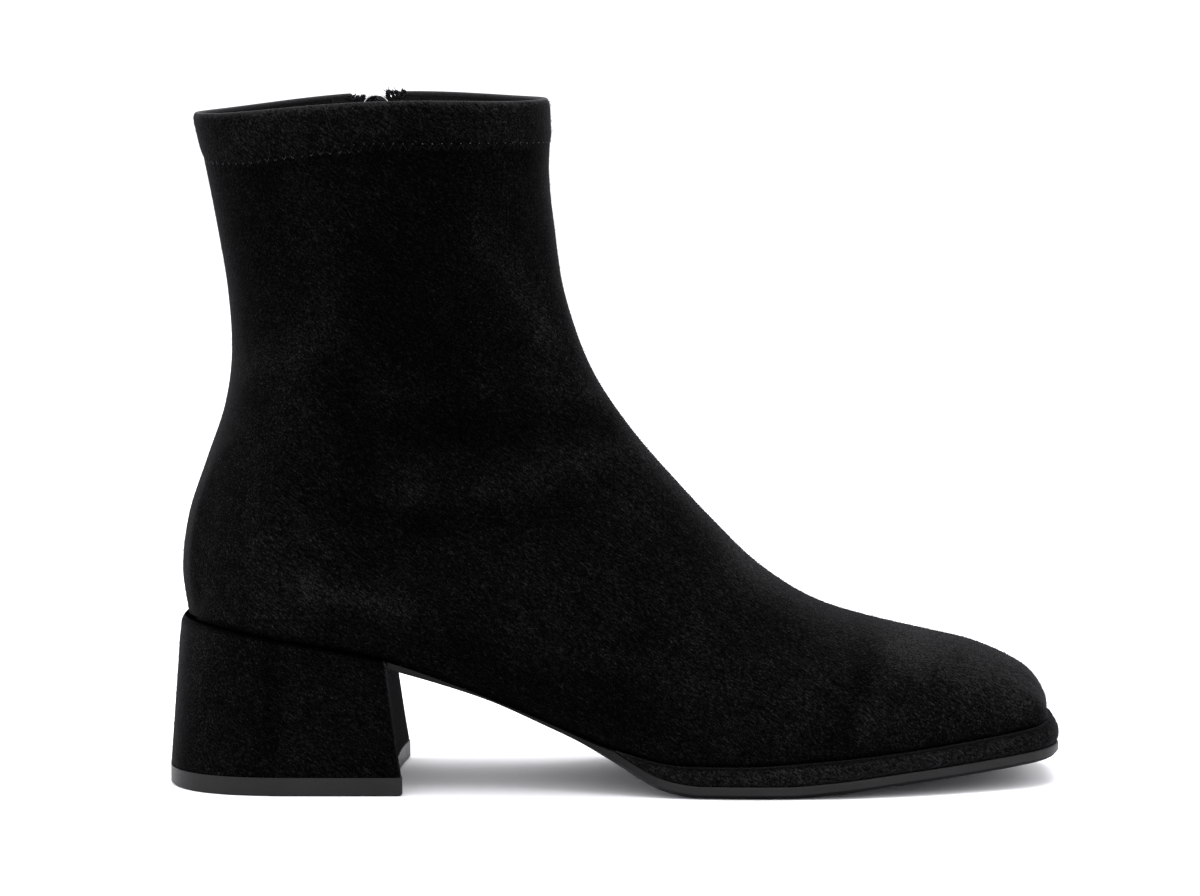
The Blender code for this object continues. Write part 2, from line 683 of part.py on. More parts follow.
def zip_chain():
    """Closed coil chain on the tape, as one strip with rounded edges."""
    bm = bmesh.new()
    half = CHAIN_WIDTH / 2
    foot = ZIP_FOOT_Z - CHAIN_FOOT_DROP
    top = SLIDER_Z + POST_FROM - GAP
    count = len(CHAIN_RING)
    loops = []
    for k in range(ZIP_STATIONS + 1):
        z = foot + (top - foot) * k / ZIP_STATIONS
        points = [zip_point(z, half * at.across, CHAIN_DEPTH + CHAIN_THICK * at.depth) for at in CHAIN_RING]
        loops.append([bm.verts.new(metres(point)) for point in points])
    for low, high in zip(loops, loops[1:]):
        for i in range(count):
            j = (i + 1) % count
            bm.faces.new((low[i], low[j], high[j], high[i]))
    bm.faces.new(loops[0])
    bm.faces.new(loops[-1])
    finish_in("zip_chain", bm, COIL)


SLIDER_X = zip_x(SLIDER_Z)
SLIDER_Y = inner_side(SLIDER_X, SLIDER_Z)
PIN_Y = SLIDER_Y + SLIDER_PLATE + PIN_RISE


def slider_plate(face_y):
    """A plate of the slider: wider at the top, where the two tapes part, with a round crown."""
    foot = SLIDER_FOOT_WIDTH / 2
    top = SLIDER_TOP_WIDTH / 2
    half = SLIDER_LENGTH / 2
    shoulder = half * SLIDER_SHOULDER
    turns = [math.pi * k / ARC_STEPS for k in range(ARC_STEPS + 1)]
    crown = [(top * math.cos(turn), shoulder + (half - shoulder) * math.sin(turn)) for turn in turns]
    outline = [(-foot, -half), (foot, -half)] + crown
    return prism([(SLIDER_X + x, face_y, SLIDER_Z + z) for x, z in outline], (0, SLIDER_PLATE, 0))


def zip_slider():
    """Metal slider: a plate each side of the tape, the post between them and the bail that holds the pull."""
    obj = finish_in("zip_slider", slider_plate(SLIDER_Y), STEEL)
    back = SLIDER_Y - SLIDER_BACK_DEPTH - SLIDER_PLATE
    combine(obj, "UNION", slider_plate(back))
    post = POST_WIDTH / 2
    combine(obj, "UNION", block((SLIDER_X - post, back + SLIDER_PLATE / 2, SLIDER_Z + POST_FROM),
                                (SLIDER_X + post, SLIDER_Y + SLIDER_PLATE / 2, SLIDER_Z + POST_TO)))
    face = SLIDER_Y + SLIDER_PLATE
    arch = []
    turns = [math.pi * k / ARC_STEPS for k in range(ARC_STEPS + 1)]
    for radius, order in ((BAIL_RADIUS, turns), (BAIL_RADIUS - BAIL_BAR, turns[::-1])):
        ring = [(radius * math.cos(turn), radius * math.sin(turn)) for turn in order]
        sunk = [(z, -SLIDER_PLATE / 2) for z in (ring[0][0], ring[-1][0])]
        arch += sunk[:1] + ring + sunk[1:]
    outline = [(SLIDER_X - BAIL_WIDTH / 2, face + rise, SLIDER_Z + z) for z, rise in arch]
    combine(obj, "UNION", prism(outline, (BAIL_WIDTH, 0, 0)))


def zip_pull():
    """Flat pull tab. The bar at its top runs in the bail, and its window clears the bail as it swings."""
    half, bar = PULL_WIDTH / 2, PULL_BAR / 2
    back = -PULL_THICK / 2
    turns = [math.pi + math.pi * k / ARC_STEPS for k in range(ARC_STEPS + 1)]
    foot = [(half * math.cos(turn), half - PULL_LENGTH + half * math.sin(turn)) for turn in turns]
    outline = foot + [(half, bar), (-half, bar)]
    obj = finish_in("zip_pull", prism([(x, back, z) for x, z in outline], (0, PULL_THICK, 0)), STEEL)
    window = PULL_WINDOW_WIDTH / 2
    cutter = block((SLIDER_X - window, PIN_Y - PULL_THICK, SLIDER_Z - bar - PULL_WINDOW_LENGTH),
                   (SLIDER_X + window, PIN_Y + PULL_THICK, SLIDER_Z - bar))
    combine(obj, "DIFFERENCE", cutter)
    obj.location = metres((SLIDER_X, PIN_Y, SLIDER_Z))


for old in list(bpy.data.objects):
    bpy.data.objects.remove(old)

upper()
insole()
covered_midsole()
outsole()
heel()
top_piece()
zip_tape()
zip_chain()
zip_slider()
zip_pull()
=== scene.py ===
"""A dressed suede sock boot with a block heel, for the right foot, on a pale studio floor.

Tables and sizes are in millimetres and the meshes in metres. +X points to the toe, -Y to the outer side of
the foot and +Z up, as in the part itself.
"""

import math
import random
from collections import namedtuple
from functools import lru_cache

import bmesh
import bpy
from mathutils import Matrix, Vector
from mathutils.bvhtree import BVHTree


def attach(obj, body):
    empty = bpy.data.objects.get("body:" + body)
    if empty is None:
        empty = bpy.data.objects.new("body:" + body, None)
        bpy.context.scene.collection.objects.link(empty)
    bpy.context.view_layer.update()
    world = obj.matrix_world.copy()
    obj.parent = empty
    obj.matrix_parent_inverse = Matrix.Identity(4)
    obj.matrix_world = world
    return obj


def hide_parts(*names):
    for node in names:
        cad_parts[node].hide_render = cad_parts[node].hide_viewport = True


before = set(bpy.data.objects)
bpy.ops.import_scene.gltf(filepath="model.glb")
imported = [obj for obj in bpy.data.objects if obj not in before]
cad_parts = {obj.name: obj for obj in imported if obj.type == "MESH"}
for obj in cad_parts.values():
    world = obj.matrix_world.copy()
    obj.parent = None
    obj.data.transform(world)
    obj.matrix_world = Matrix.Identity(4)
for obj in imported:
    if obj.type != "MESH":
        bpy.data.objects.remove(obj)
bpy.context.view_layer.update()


# Insole: a fibre board with a thin leather sock glued on it, lasted into the foot of the upper. Only its
# top shows, far down inside the collar. The last that it and the upper are shaped on is set out here.
MM = 0.001
AXIS_Y = -4.6
GAP = 0.3
WELD = 0.01
WALL = 1.8
SEARCH_STOP = 1e-3
COLD_CAST = 1.04
INSOLE_THICK = 3.0
INSOLE_CLEAR = 0.6
INSOLE_EDGE = 0.5
INSOLE_PARTS = (120, 24, 6)

# A section of the last lies in the plane through its base, on the feather line or the back seam, and its
# crest, on the ridge of the foot or the front of the shaft. Swing moves its middle to the inner side.
Section = namedtuple("Section", "base_x base_z crest_x crest_z swing base_half wide_half wide_at fill")
SECTIONS = [
    Section(123.9, 17.9, 123.9, 18.0, 5.5, 9.5, 9.5, 0.30, 0.14),
    Section(123.4, 17.8, 124.0, 21.5, 5.6, 13.2, 13.4, 0.30, 0.14),
    Section(121.4, 17.3, 122.8, 25.7, 5.8, 17.8, 18.2, 0.30, 0.14),
    Section(118.0, 16.7, 119.5, 30.1, 6.3, 21.7, 22.3, 0.30, 0.135),
    Section(112.0, 15.9, 113.0, 34.2, 6.7, 25.3, 26.2, 0.30, 0.12),
    Section(104.0, 14.9, 103.5, 38.2, 6.7, 28.7, 29.9, 0.30, 0.09),
    Section(93.0, 13.6, 91.0, 41.3, 6.4, 32.6, 34.1, 0.28, 0.06),
    Section(78.0, 12.0, 75.0, 45.0, 5.9, 36.3, 38.0, 0.25, 0.02),
    Section(60.0, 10.5, 57.5, 50.7, 5.1, 38.7, 40.4, 0.22, -0.02),
    Section(40.0, 9.1, 41.0, 61.3, 4.0, 38.6, 40.3, 0.20, -0.045),
    Section(20.0, 9.0, 27.5, 74.6, 2.4, 36.0, 38.0, 0.20, -0.06),
    Section(0.0, 13.1, 16.5, 86.7, 0.4, 31.0, 34.4, 0.22, -0.065),
    Section(-22.0, 21.8, 7.0, 97.7, -1.1, 26.2, 32.0, 0.26, -0.065),
    Section(-45.0, 31.0, -0.5, 107.7, -1.0, 25.6, 31.2, 0.30, -0.06),
    Section(-67.0, 38.9, -6.0, 116.4, -0.4, 27.9, 31.6, 0.31, -0.055),
    Section(-86.0, 42.7, -9.8, 124.7, 0.0, 29.0, 32.0, 0.30, -0.045),
    Section(-101.0, 45.2, -12.2, 131.5, 0.0, 27.0, 32.1, 0.29, -0.04),
    Section(-112.5, 47.0, -13.8, 136.7, 0.0, 21.3, 32.1, 0.28, -0.03),
    Section(-119.6, 48.0, -14.9, 140.9, 0.0, 13.0, 32.0, 0.28, -0.025),
    Section(-122.6, 48.4, -15.6, 144.2, 0.0, 0.0, 31.9, 0.28, -0.02),
    Section(-124.2, 61.2, -16.2, 148.2, 0.0, 0.0, 31.7, 0.30, -0.01),
    Section(-122.3, 76.7, -16.8, 152.5, 0.0, 0.0, 31.4, 0.33, 0.0),
    Section(-117.0, 92.7, -17.3, 157.0, 0.0, 0.0, 31.0, 0.37, 0.0),
    Section(-111.6, 108.7, -17.9, 161.7, 0.0, 0.0, 30.6, 0.41, 0.005),
    Section(-109.6, 124.7, -18.5, 166.5, 0.0, 0.0, 30.3, 0.44, 0.01),
    Section(-110.7, 141.7, -18.9, 171.3, 0.0, 0.0, 30.2, 0.46, 0.01),
    Section(-113.4, 158.7, -19.1, 175.9, 0.0, 0.0, 30.3, 0.48, 0.015),
    Section(-117.2, 178.7, -18.9, 182.5, 0.0, 0.0, 30.7, 0.49, 0.02),
    Section(-120.1, 191.5, -19.3, 195.7, 0.0, 0.0, 31.1, 0.50, 0.02),
]
HEEL_ROW = 19
HEM_ROW = 27


def smooth_curve(knots, values, level_ends=False):
    """A curve through values at rising knots, level at a peak, on a flat and, if asked, at its ends."""
    steps = [b - a for a, b in zip(knots, knots[1:])]
    rates = [(b - a) / step for a, b, step in zip(values, values[1:], steps)]
    slopes = [0.0 if level_ends else rates[0]]
    for before, after, step_before, step_after in zip(rates, rates[1:], steps, steps[1:]):
        mean = (step_after * before + step_before * after) / (step_before + step_after)
        slopes.append(mean if before * after > 0 else 0.0)
    slopes.append(0.0 if level_ends else rates[-1])

    def value(at):
        i = max(k for k in range(len(steps)) if k == 0 or knots[k] <= at)
        step = steps[i]
        u = min(max((at - knots[i]) / step, 0.0), 1.0)
        bend = (1 - u) * slopes[i] * step - u * slopes[i + 1] * step
        turn = (1 - 2 * u) * (values[i + 1] - values[i])
        return values[i] + u * (values[i + 1] - values[i]) + u * (1 - u) * (bend - turn)

    return value


def table_curve(table):
    """A table of places and values as a curve."""
    return smooth_curve(sorted(table), [table[key] for key in sorted(table)])


def section_runs():
    """Where each section lies along the last, measured over its base and its crest from the toe."""
    runs = [0.0]
    for before, after in zip(SECTIONS, SECTIONS[1:]):
        base = math.dist((before.base_x, before.base_z, before.base_half),
                         (after.base_x, after.base_z, after.base_half))
        crest = math.dist((before.crest_x, before.crest_z), (after.crest_x, after.crest_z))
        runs.append(runs[-1] + base + crest)
    return runs


RUNS = section_runs()


def section_column(field):
    """One column of the section table as a curve, broken where the base turns up the back."""
    values = [getattr(row, field) for row in SECTIONS]
    if not field.startswith("base"):
        return smooth_curve(RUNS, values)
    foot = smooth_curve(RUNS[:HEEL_ROW + 1], values[:HEEL_ROW + 1], level_ends=field != "base_half")
    shaft = smooth_curve(RUNS[HEEL_ROW:], values[HEEL_ROW:])
    return lambda run: foot(run) if run <= RUNS[HEEL_ROW] else shaft(run)


COLUMNS = [section_column(field) for field in Section._fields]


@lru_cache(maxsize=None)
def section_at(run):
    return Section(*(column(run) for column in COLUMNS))


@lru_cache(maxsize=None)
def run_at_base(x):
    """The run of the foot's section whose base lies at x."""
    low, high = 0.0, RUNS[HEEL_ROW]
    while high - low > SEARCH_STOP:
        run = (low + high) / 2
        if section_at(run).base_x > x:
            low = run
        else:
            high = run
    return low


def feather_height(x):
    """Height of the foot of the upper at x."""
    return section_at(run_at_base(x)).base_z


def feather_point(run, side):
    """A point of the feather line in plan. Past either end the line goes on as its mirror image."""
    end = RUNS[HEEL_ROW]
    inside = min(abs(run), 2 * end - run)
    row = section_at(inside)
    y = AXIS_Y + row.swing + side * row.base_half
    if inside != run:
        turn = section_at(0.0 if run < 0 else end)
        y = 2 * (AXIS_Y + turn.swing + side * turn.base_half) - y
    return Vector((row.base_x, y))


def rim_point(run, side, out):
    """A point of the feather line moved out in plan, square to the line."""
    along = feather_point(run + 1.0, side) - feather_point(run - 1.0, side)
    return feather_point(run, side) + Vector((-along.y, along.x)).normalized() * -side * out


def shaped_block(parts, shape, nap_and_light=None):
    """A closed block cut into parts three ways, with its points moved to shape(along, across, rise).

    If it is covered in suede, nap_and_light gives the way the nap lies and the painted light and shade at
    each point.
    """
    bm = bmesh.new()
    nap_and_light_layer = bm.verts.layers.float.new("nap_and_painted_light") if nap_and_light else None
    bmesh.ops.create_cube(bm, size=1.0)
    bmesh.ops.translate(bm, verts=bm.verts[:], vec=(0.5, 0.5, 0.5))
    for axis, count in enumerate(parts):
        whole = [edge for edge in bm.edges if abs(edge.verts[0].co[axis] - edge.verts[1].co[axis]) > 0.5]
        bmesh.ops.subdivide_edges(bm, edges=whole, cuts=count - 1, use_grid_fill=True)
    for vert in bm.verts:
        if nap_and_light:
            vert[nap_and_light_layer] = nap_and_light(*vert.co)
        vert.co = Vector(shape(*vert.co)) * MM
    bmesh.ops.remove_doubles(bm, verts=bm.verts[:], dist=WELD * MM)
    bmesh.ops.recalc_face_normals(bm, faces=bm.faces[:])
    return bm


def new_object(name, data):
    """An object of a mesh, curve, light or camera, in the scene."""
    item = bpy.data.objects.new(name, data)
    bpy.context.scene.collection.objects.link(item)
    return item


def new_piece(name, bm, *materials, sharp=40.0):
    """The bmesh as a smooth object with its materials."""
    mesh = bpy.data.meshes.new(name)
    bm.to_mesh(mesh)
    bm.free()
    mesh.shade_smooth()
    mesh.set_sharp_from_angle(angle=math.radians(sharp))
    for material in materials:
        mesh.materials.append(material)
    return new_object(name, mesh)


def add_node(tree, kind, inputs=None, **settings):
    """A node with its settings and the values of its sockets."""
    node = tree.nodes.new(kind)
    for name, value in settings.items():
        setattr(node, name, value)
    for name, value in (inputs or {}).items():
        node.inputs[name].default_value = value
    return node


def new_finish(name, values):
    """A material, with the values that are the same all over it set on its shader."""
    material = bpy.data.materials.new(name)
    material.use_nodes = True
    shader = material.node_tree.nodes["Principled BSDF"]
    for socket, value in values.items():
        shader.inputs[socket].default_value = value
    return material, material.node_tree, shader


def textured(tree, kind, inputs, output="Fac", **settings):
    """The value of a texture that is laid on the part's own place."""
    texture = add_node(tree, "ShaderNodeTex" + kind, inputs, **settings)
    tree.links.new(add_node(tree, "ShaderNodeTexCoord").outputs["Object"], texture.inputs["Vector"])
    return texture.outputs[output]


def shade_stops(tree, source, stops):
    """Greys with a cold cast at stops along a value: each stop is a place and a grey."""
    ramp = add_node(tree, "ShaderNodeValToRGB")
    elements = ramp.color_ramp.elements
    for place, _ in stops[1:-1]:
        elements.new(place)
    elements[0].position, elements[-1].position = stops[0][0], stops[-1][0]
    for element, (_, grey) in zip(elements, stops):
        element.color = (grey, grey, grey * COLD_CAST, 1.0)
    tree.links.new(source, ramp.inputs["Fac"])
    return ramp.outputs["Color"]


def add_tone(tree, shader, source, stops):
    """Greys at stops along a value, as a shader's colour."""
    tree.links.new(shade_stops(tree, source, stops), shader.inputs["Base Color"])


def add_bump(tree, shader, height, strength, distance):
    """A bump of a height on a shader."""
    bump = add_node(tree, "ShaderNodeBump", {"Strength": strength, "Distance": distance * MM})
    tree.links.new(height, bump.inputs["Height"])
    tree.links.new(bump.outputs["Normal"], shader.inputs["Normal"])


lining, tree, shader = new_finish("Sock leather", {"Roughness": 0.62, "Specular IOR Level": 0.15})
cloud = textured(tree, "Noise", {"Scale": 60.0, "Detail": 4.0})
pebbles = textured(tree, "Voronoi", {"Scale": 1100.0, "Randomness": 1.0}, output="Distance")
add_tone(tree, shader, cloud, [(0.3, 0.003), (0.7, 0.007)])
add_bump(tree, shader, pebbles, strength=0.35, distance=0.2)


def insole_shape(along, across, rise):
    run = along * RUNS[HEEL_ROW]
    inset = WALL + INSOLE_CLEAR + INSOLE_EDGE * max(0.0, 2 * rise - 1) ** 2
    at = rim_point(run, -1, -inset).lerp(rim_point(run, 1, -inset), across)
    return at.x, at.y, feather_height(at.x) + rise * INSOLE_THICK


insole = new_piece("insole_and_sock", shaped_block(INSOLE_PARTS, insole_shape), lining)
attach(insole, "boot")
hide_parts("insole")


# Upper: stretch suede cut in one with the shaft, lasted over the foot and lined. The collar is folded in
# and sewn down as a hem, and a slit on the inner side takes the zip. Its nap lies in brushed bands, and
# painted light and shade are laid into its tone.
LOW_STEPS = 6
HIGH_STEPS = 10
FINER = 4
ROWS_PER_SECTION = 8
HEM_STEP = 0.5
HEM_SOFT = 5.0
ROLL_RUN = 6.0
ROLL_IN = 0.9
EASE_SHARE = 0.5
EASE_ROUNDS = 80
ZIP_TOP_X = -69.6
ZIP_FOOT_X = -62.0
ZIP_TOP_Z = 194.7
ZIP_FOOT_Z = 66.7
SLIT_WIDTH = 10.6
SLIT_TOP_WIDTH = 13.8
SLIT_TOP_Z = 207.7
SLIT_NEAR = 9.0
SLIT_WELD = 0.9
CUT_SNAP = 1e-4
WELD_ROUNDS = 3
FOOT_CUTS = 8
TOE_WELD = 0.15
RIM_ROUND = 0.8
RIM_TURN = 50.0
RIM_TOP = 0.5
SHAFT_Z = 150.0
PRESSED_SHADE_SLOT = 2
FOLDED_HIGHLIGHT_SLOT = 3

# Sides of the foot, how much the collar rises in the middle of each, and how fast that falls off.
OUTER, BOTH, INNER = -1, 0, 1
CollarSide = namedtuple("CollarSide", "side lift fall")
OUTER_COLLAR = CollarSide(OUTER, 2.3, 4.0)
INNER_COLLAR = CollarSide(INNER, 2.4, 4.0)

# Where sections fan out from a corner of the feather line, their grid is eased between rows and steps.
Eased = namedtuple("Eased", "first_row last_row first_step last_step")
EASED = [
    Eased(0, 5, 2, 13),
    Eased(17, 22, 2, 5),
]

# Soft bands on the suede, as lines seen from the side with a bell-shaped fall-off, on the outer side of
# the foot, the inner one or both. First the folds and the stiffeners' edges: how far they stand out.
Band = namedtuple("Band", "side from_x from_z to_x to_z width amount")
FOLDS = [
    Band(OUTER, -102, 120, -82, 128, 5, 0.45),
    Band(OUTER, -98, 110, -78, 116, 5, -0.35),
    Band(OUTER, -79, 126, -72, 97, 6, -0.4),
    Band(OUTER, -68, 114, -36, 116, 5, 0.35),
    Band(OUTER, -62, 103, -8, 105, 5.5, -0.5),
    Band(OUTER, -36, 89, -6, 96, 5.5, 0.5),
    Band(OUTER, -80, 91, -57, 85.5, 4, 0.35),
    Band(OUTER, -57, 85.5, -38, 88, 4, 0.35),
    Band(OUTER, -78, 84, -54, 77, 5, -0.4),
    Band(OUTER, -54, 77, -14, 80, 5.5, -0.45),
    Band(OUTER, -94, 61, -58, 54, 6, 0.45),
    Band(OUTER, -42, 160, -30, 134, 5, 0.25),
    Band(BOTH, 76, 37, 68, 19, 5, 0.35),
    Band(OUTER, 66, 38, 58, 19, 5, -0.25),
    Band(INNER, -88, 95, -76, 90, 5, -0.45),
    Band(INNER, -50, 88, -30, 96, 5, -0.45),
    Band(INNER, -46, 99, -20, 108, 6, 0.4),
    Band(INNER, -96, 60, -58, 52, 7, 0.4),
    Band(INNER, 10, 40, 34, 50, 9, -0.35),
]

# Then bands of tone, lighter above 0 or darker. Some are the nap lying another way; the rest are painted
# light:
# painted highlights on the ridges of the folds and on the toe, vamp and instep, and painted shade in the
# hollows of the folds and above the sole at the waist.
NAP_AND_PAINTED_LIGHT = [
    Band(OUTER, -62, 172, -52, 118, 20, -0.75),
    Band(OUTER, -38, 158, -20, 130, 4.5, 0.6),
    Band(OUTER, -88, 168, -85, 158, 7, 0.25),
    Band(OUTER, -106, 119, -80, 129, 5, 0.5),
    Band(OUTER, -79, 126, -72, 95, 7, -0.5),
    Band(OUTER, -70, 114, -36, 116, 4, 0.3),
    Band(OUTER, -60, 103, 0, 105, 5.5, -0.55),
    Band(BOTH, -36, 88, 6, 98, 5, 0.45),
    Band(OUTER, -80, 90, -57, 84.5, 3, 0.35),
    Band(OUTER, -57, 84.5, -39, 87, 3, 0.3),
    Band(OUTER, -78, 85, -54, 77, 5, -0.4),
    Band(OUTER, -54, 77, -12, 80, 5, -0.45),
    Band(OUTER, -85, 59, -60, 54, 4.5, 0.9),
    Band(BOTH, -104, 98, -100, 62, 14, 0.4),
    Band(BOTH, -45, 42, 12, 20, 9, -0.5),
    Band(BOTH, 22, 32, 60, 26, 12, 0.25),
    Band(BOTH, 78, 40, 70, 20, 4, 0.4),
    Band(OUTER, 70, 34, 62, 18, 3.5, -0.3),
    Band(BOTH, 84, 38, 112, 30, 8, 0.5),
    Band(BOTH, 88, 42, 118, 30, 9, 0.8),
    Band(BOTH, 82, 22, 118, 22, 8, 0.55),
    Band(BOTH, 34, 62, 84, 42, 9, 0.7),
    Band(BOTH, -4, 113, 42, 61, 5, 0.7),
    Band(INNER, -92, 165, -90, 130, 10, 0.4),
    Band(INNER, -38, 165, -32, 120, 12, -0.5),
    Band(INNER, -44, 76, -12, 80, 5, -0.45),
    Band(INNER, -85, 59, -60, 52, 5, 0.6),
]
# Painted light in the suede's tone: a painted highlight on the bulge of the hem above its stitching and on
# the collar's rolled rim, and painted shade in the dip under the hem.
HEM_HIGHLIGHT = 0.45
HEM_EDGE = 2.4
UNDER_HEM_SHADE = -0.30
UNDER_HEM_HIGH = 11.0
COLLAR_RIM_HIGHLIGHT = 2.4
RIM_RUN = 2.4
# Painted shade in the joints between covered pieces, where the nap is also pressed in: how dark, how wide,
# and the tone below which a face takes the suede with no sheen.
JOINT_PRESS_AND_SHADE = -1.8
JOINT_WIDE = 0.8
PRESS_AND_SHADE_LIMIT = -1.0

# Height of the hem's lower edge, on which its stitching runs, from the back of the collar to its front.
HEM_LINE = {-121.0: 177.9, -113.0: 178.2, -99.8: 179.3, -88.6: 181.1, -77.4: 182.4, -66.2: 183.0,
            -55.0: 182.9, -32.6: 182.7, -18.0: 182.0}
hem_line = table_curve(HEM_LINE)


def half_width(row, reach):
    """Half width of a section at a reach from its base (0) to its crest (1)."""
    if reach < row.wide_at:
        tuck = 1 - (row.base_half / row.wide_half) ** 2
        return row.wide_half * math.sqrt(1 - tuck * (1 - reach / row.wide_at) ** 2)
    rise = min((reach - row.wide_at) / (1 - row.wide_at), 1.0) ** 2
    return row.wide_half * math.sqrt(1 - rise) * (1 + 4 * row.fill * rise * (1 - rise))


def reach_of(row, step):
    """The reach of a grid step, with the steps closer together where the section turns faster."""
    if step < LOW_STEPS:
        share = 1 - step / LOW_STEPS
        tuck = math.acos(min(row.base_half / row.wide_half, 1.0))
        drop = math.sin(tuck * share) / math.sin(tuck) if tuck > 0 else share
        return row.wide_at * (1 - drop)
    rise = math.sin((step - LOW_STEPS) / HIGH_STEPS * math.pi / 2)
    return row.wide_at + (1 - row.wide_at) * rise


def skin_point(run, step, side):
    """A point of the upper's outside: side is -1 for the outer and 1 for the inner side of the foot."""
    row = section_at(run)
    reach = reach_of(row, step)
    half = half_width(row, reach)
    in_hem = max(0.0, (run - RUNS[HEM_ROW]) / (RUNS[-1] - RUNS[HEM_ROW]))
    collar = INNER_COLLAR if side == INNER_COLLAR.side else OUTER_COLLAR
    lift = collar.lift * in_hem * (half / row.wide_half) ** collar.fall
    return (row.base_x + reach * (row.crest_x - row.base_x),
            AXIS_Y + row.swing + side * half,
            row.base_z + reach * (row.crest_z - row.base_z) + lift)


def run_of_row(place):
    """The run at a place in the section table, counted in rows."""
    row = min(int(place), len(RUNS) - 2)
    return RUNS[row] + (place - row) * (RUNS[row + 1] - RUNS[row])


def is_eased(run, step):
    """Whether a grid point of the upper lies where its grid is eased."""
    return any(RUNS[area.first_row] < run < RUNS[area.last_row]
               and area.first_step <= step <= area.last_step for area in EASED)


def band_sum(bands, x, z, side):
    """What the bands on one side add up to at a point seen from the side."""
    total = 0.0
    for band in bands:
        if band.side in (BOTH, side):
            start = Vector((band.from_x, band.from_z))
            line = Vector((band.to_x, band.to_z)) - start
            at = Vector((x, z)) - start
            share = min(max(at.dot(line) / line.length_squared, 0.0), 1.0)
            total += band.amount * math.exp(-((at - line * share).length / band.width) ** 2)
    return total


def soft_step(share):
    """A smooth step from 0 to 1."""
    share = min(max(share, 0.0), 1.0)
    return share ** 2 * (3 - 2 * share)


def zip_x(z):
    """Middle of the zip at a height: it follows the middle of the shaft."""
    return ZIP_FOOT_X + (ZIP_TOP_X - ZIP_FOOT_X) * (z - ZIP_FOOT_Z) / (ZIP_TOP_Z - ZIP_FOOT_Z)


def slit_edges():
    """The straight cuts round the slit, as points on them and their directions away from it, in x and z."""
    half = SLIT_WIDTH / 2
    foot = Vector((ZIP_FOOT_X, ZIP_FOOT_Z))
    cuts = []
    for side in (-1, 1):
        low = foot + Vector((half * side, 0.0))
        up = Vector((zip_x(SLIT_TOP_Z) + side * SLIT_TOP_WIDTH / 2, SLIT_TOP_Z)) - low
        cuts.append((low, Vector((up.y, -up.x)).normalized() * side))
    for k in range(FOOT_CUTS):
        turn = math.pi + math.pi * (k + 0.5) / FOOT_CUTS
        out = Vector((math.cos(turn), math.sin(turn)))
        cuts.append((foot + out * half, out))
    return cuts


def by_slit(point):
    """Whether a point in metres lies at the slit or close round it."""
    x, y, z = point / MM
    return y > 0 and z > ZIP_FOOT_Z - SLIT_NEAR and abs(x - zip_x(z)) < SLIT_NEAR


def cut_slit(bm):
    """Cuts the slit for the zip into the inner side of the upper."""
    for at, out in slit_edges():
        near = [face for face in bm.faces if by_slit(face.calc_center_median())]
        edges = list(dict.fromkeys(edge for face in near for edge in face.edges))
        verts = list(dict.fromkeys(vert for face in near for vert in face.verts))
        bmesh.ops.bisect_plane(bm, geom=verts + edges + near, dist=CUT_SNAP * MM,
                               plane_co=Vector((at.x, 0.0, at.y)) * MM, plane_no=(out.x, 0.0, out.y))
    inside = []
    for face in bm.faces:
        middle = face.calc_center_median() / MM
        flat = Vector((middle.x, middle.z))
        if middle.y > 0 and all((flat - at).dot(out) < 0 for at, out in slit_edges()):
            inside.append(face)
    bmesh.ops.delete(bm, geom=inside, context="FACES")


def hold(vert):
    """How firmly a point stays: one inside gives way to one on the slit's edge, and that to a corner."""
    return vert.is_boundary * (2 if len(vert.link_faces) == 1 else 1)


def weld_slivers(bm):
    """Welds the short edges that the cuts left, to the edge of the slit and to its corners."""
    targets = {}
    for edge in bm.edges:
        if edge.calc_length() < SLIT_WELD * MM and by_slit(edge.verts[0].co):
            lost, kept = sorted(edge.verts, key=hold)
            corners = [vert for vert in (lost, kept) if len(vert.link_faces) == 1]
            free = not {lost, kept} & {*targets, *targets.values()}
            if free and kept.is_boundary and len(corners) < 2:
                targets[lost] = kept
    bmesh.ops.weld_verts(bm, targetmap=targets)


def joint_press_and_shade(distance):
    """The suede's tone at a distance from the joint of two covered pieces: nap pressed in, and painted shade
    in the groove.
    """
    return JOINT_PRESS_AND_SHADE * math.exp(-(distance / JOINT_WIDE) ** 2)


# The suede's texture. Its second input shifts the tone both for the way the nap lies and for painted light
# and shade.
nap_tree = bpy.data.node_groups.new("Suede nap", "ShaderNodeTree")
nap_tree.interface.new_socket("Vector", in_out="INPUT", socket_type="NodeSocketVector")
nap_tree.interface.new_socket("Lay and light", in_out="INPUT", socket_type="NodeSocketFloat")
nap_tree.interface.new_socket("Color", in_out="OUTPUT", socket_type="NodeSocketColor")
nap_tree.interface.new_socket("Height", in_out="OUTPUT", socket_type="NodeSocketFloat")
given = add_node(nap_tree, "NodeGroupInput")
result = add_node(nap_tree, "NodeGroupOutput")


def nap_layer(scale, detail, turn, drawn):
    """Noise drawn out along the lie of the nap, as a value about 0."""
    lie = add_node(nap_tree, "ShaderNodeMapping", {"Rotation": turn, "Scale": (1.0, 1.0, drawn)},
                   vector_type="TEXTURE")
    noise = add_node(nap_tree, "ShaderNodeTexNoise", {"Scale": scale, "Detail": detail, "Roughness": 0.6})
    centred = add_node(nap_tree, "ShaderNodeMath", {1: 0.5}, operation="SUBTRACT")
    nap_tree.links.new(given.outputs["Vector"], lie.inputs["Vector"])
    nap_tree.links.new(lie.outputs["Vector"], noise.inputs["Vector"])
    nap_tree.links.new(noise.outputs["Fac"], centred.inputs[0])
    return centred.outputs["Value"]


def weighted_sum(tree, parts, start=0.0):
    """The sum of values times their weights, added to a start."""
    total = None
    for value, weight in parts:
        step = add_node(tree, "ShaderNodeMath", {1: weight, 2: start}, operation="MULTIPLY_ADD")
        tree.links.new(value, step.inputs[0])
        if total is not None:
            tree.links.new(total, step.inputs[2])
        total = step.outputs["Value"]
    return total


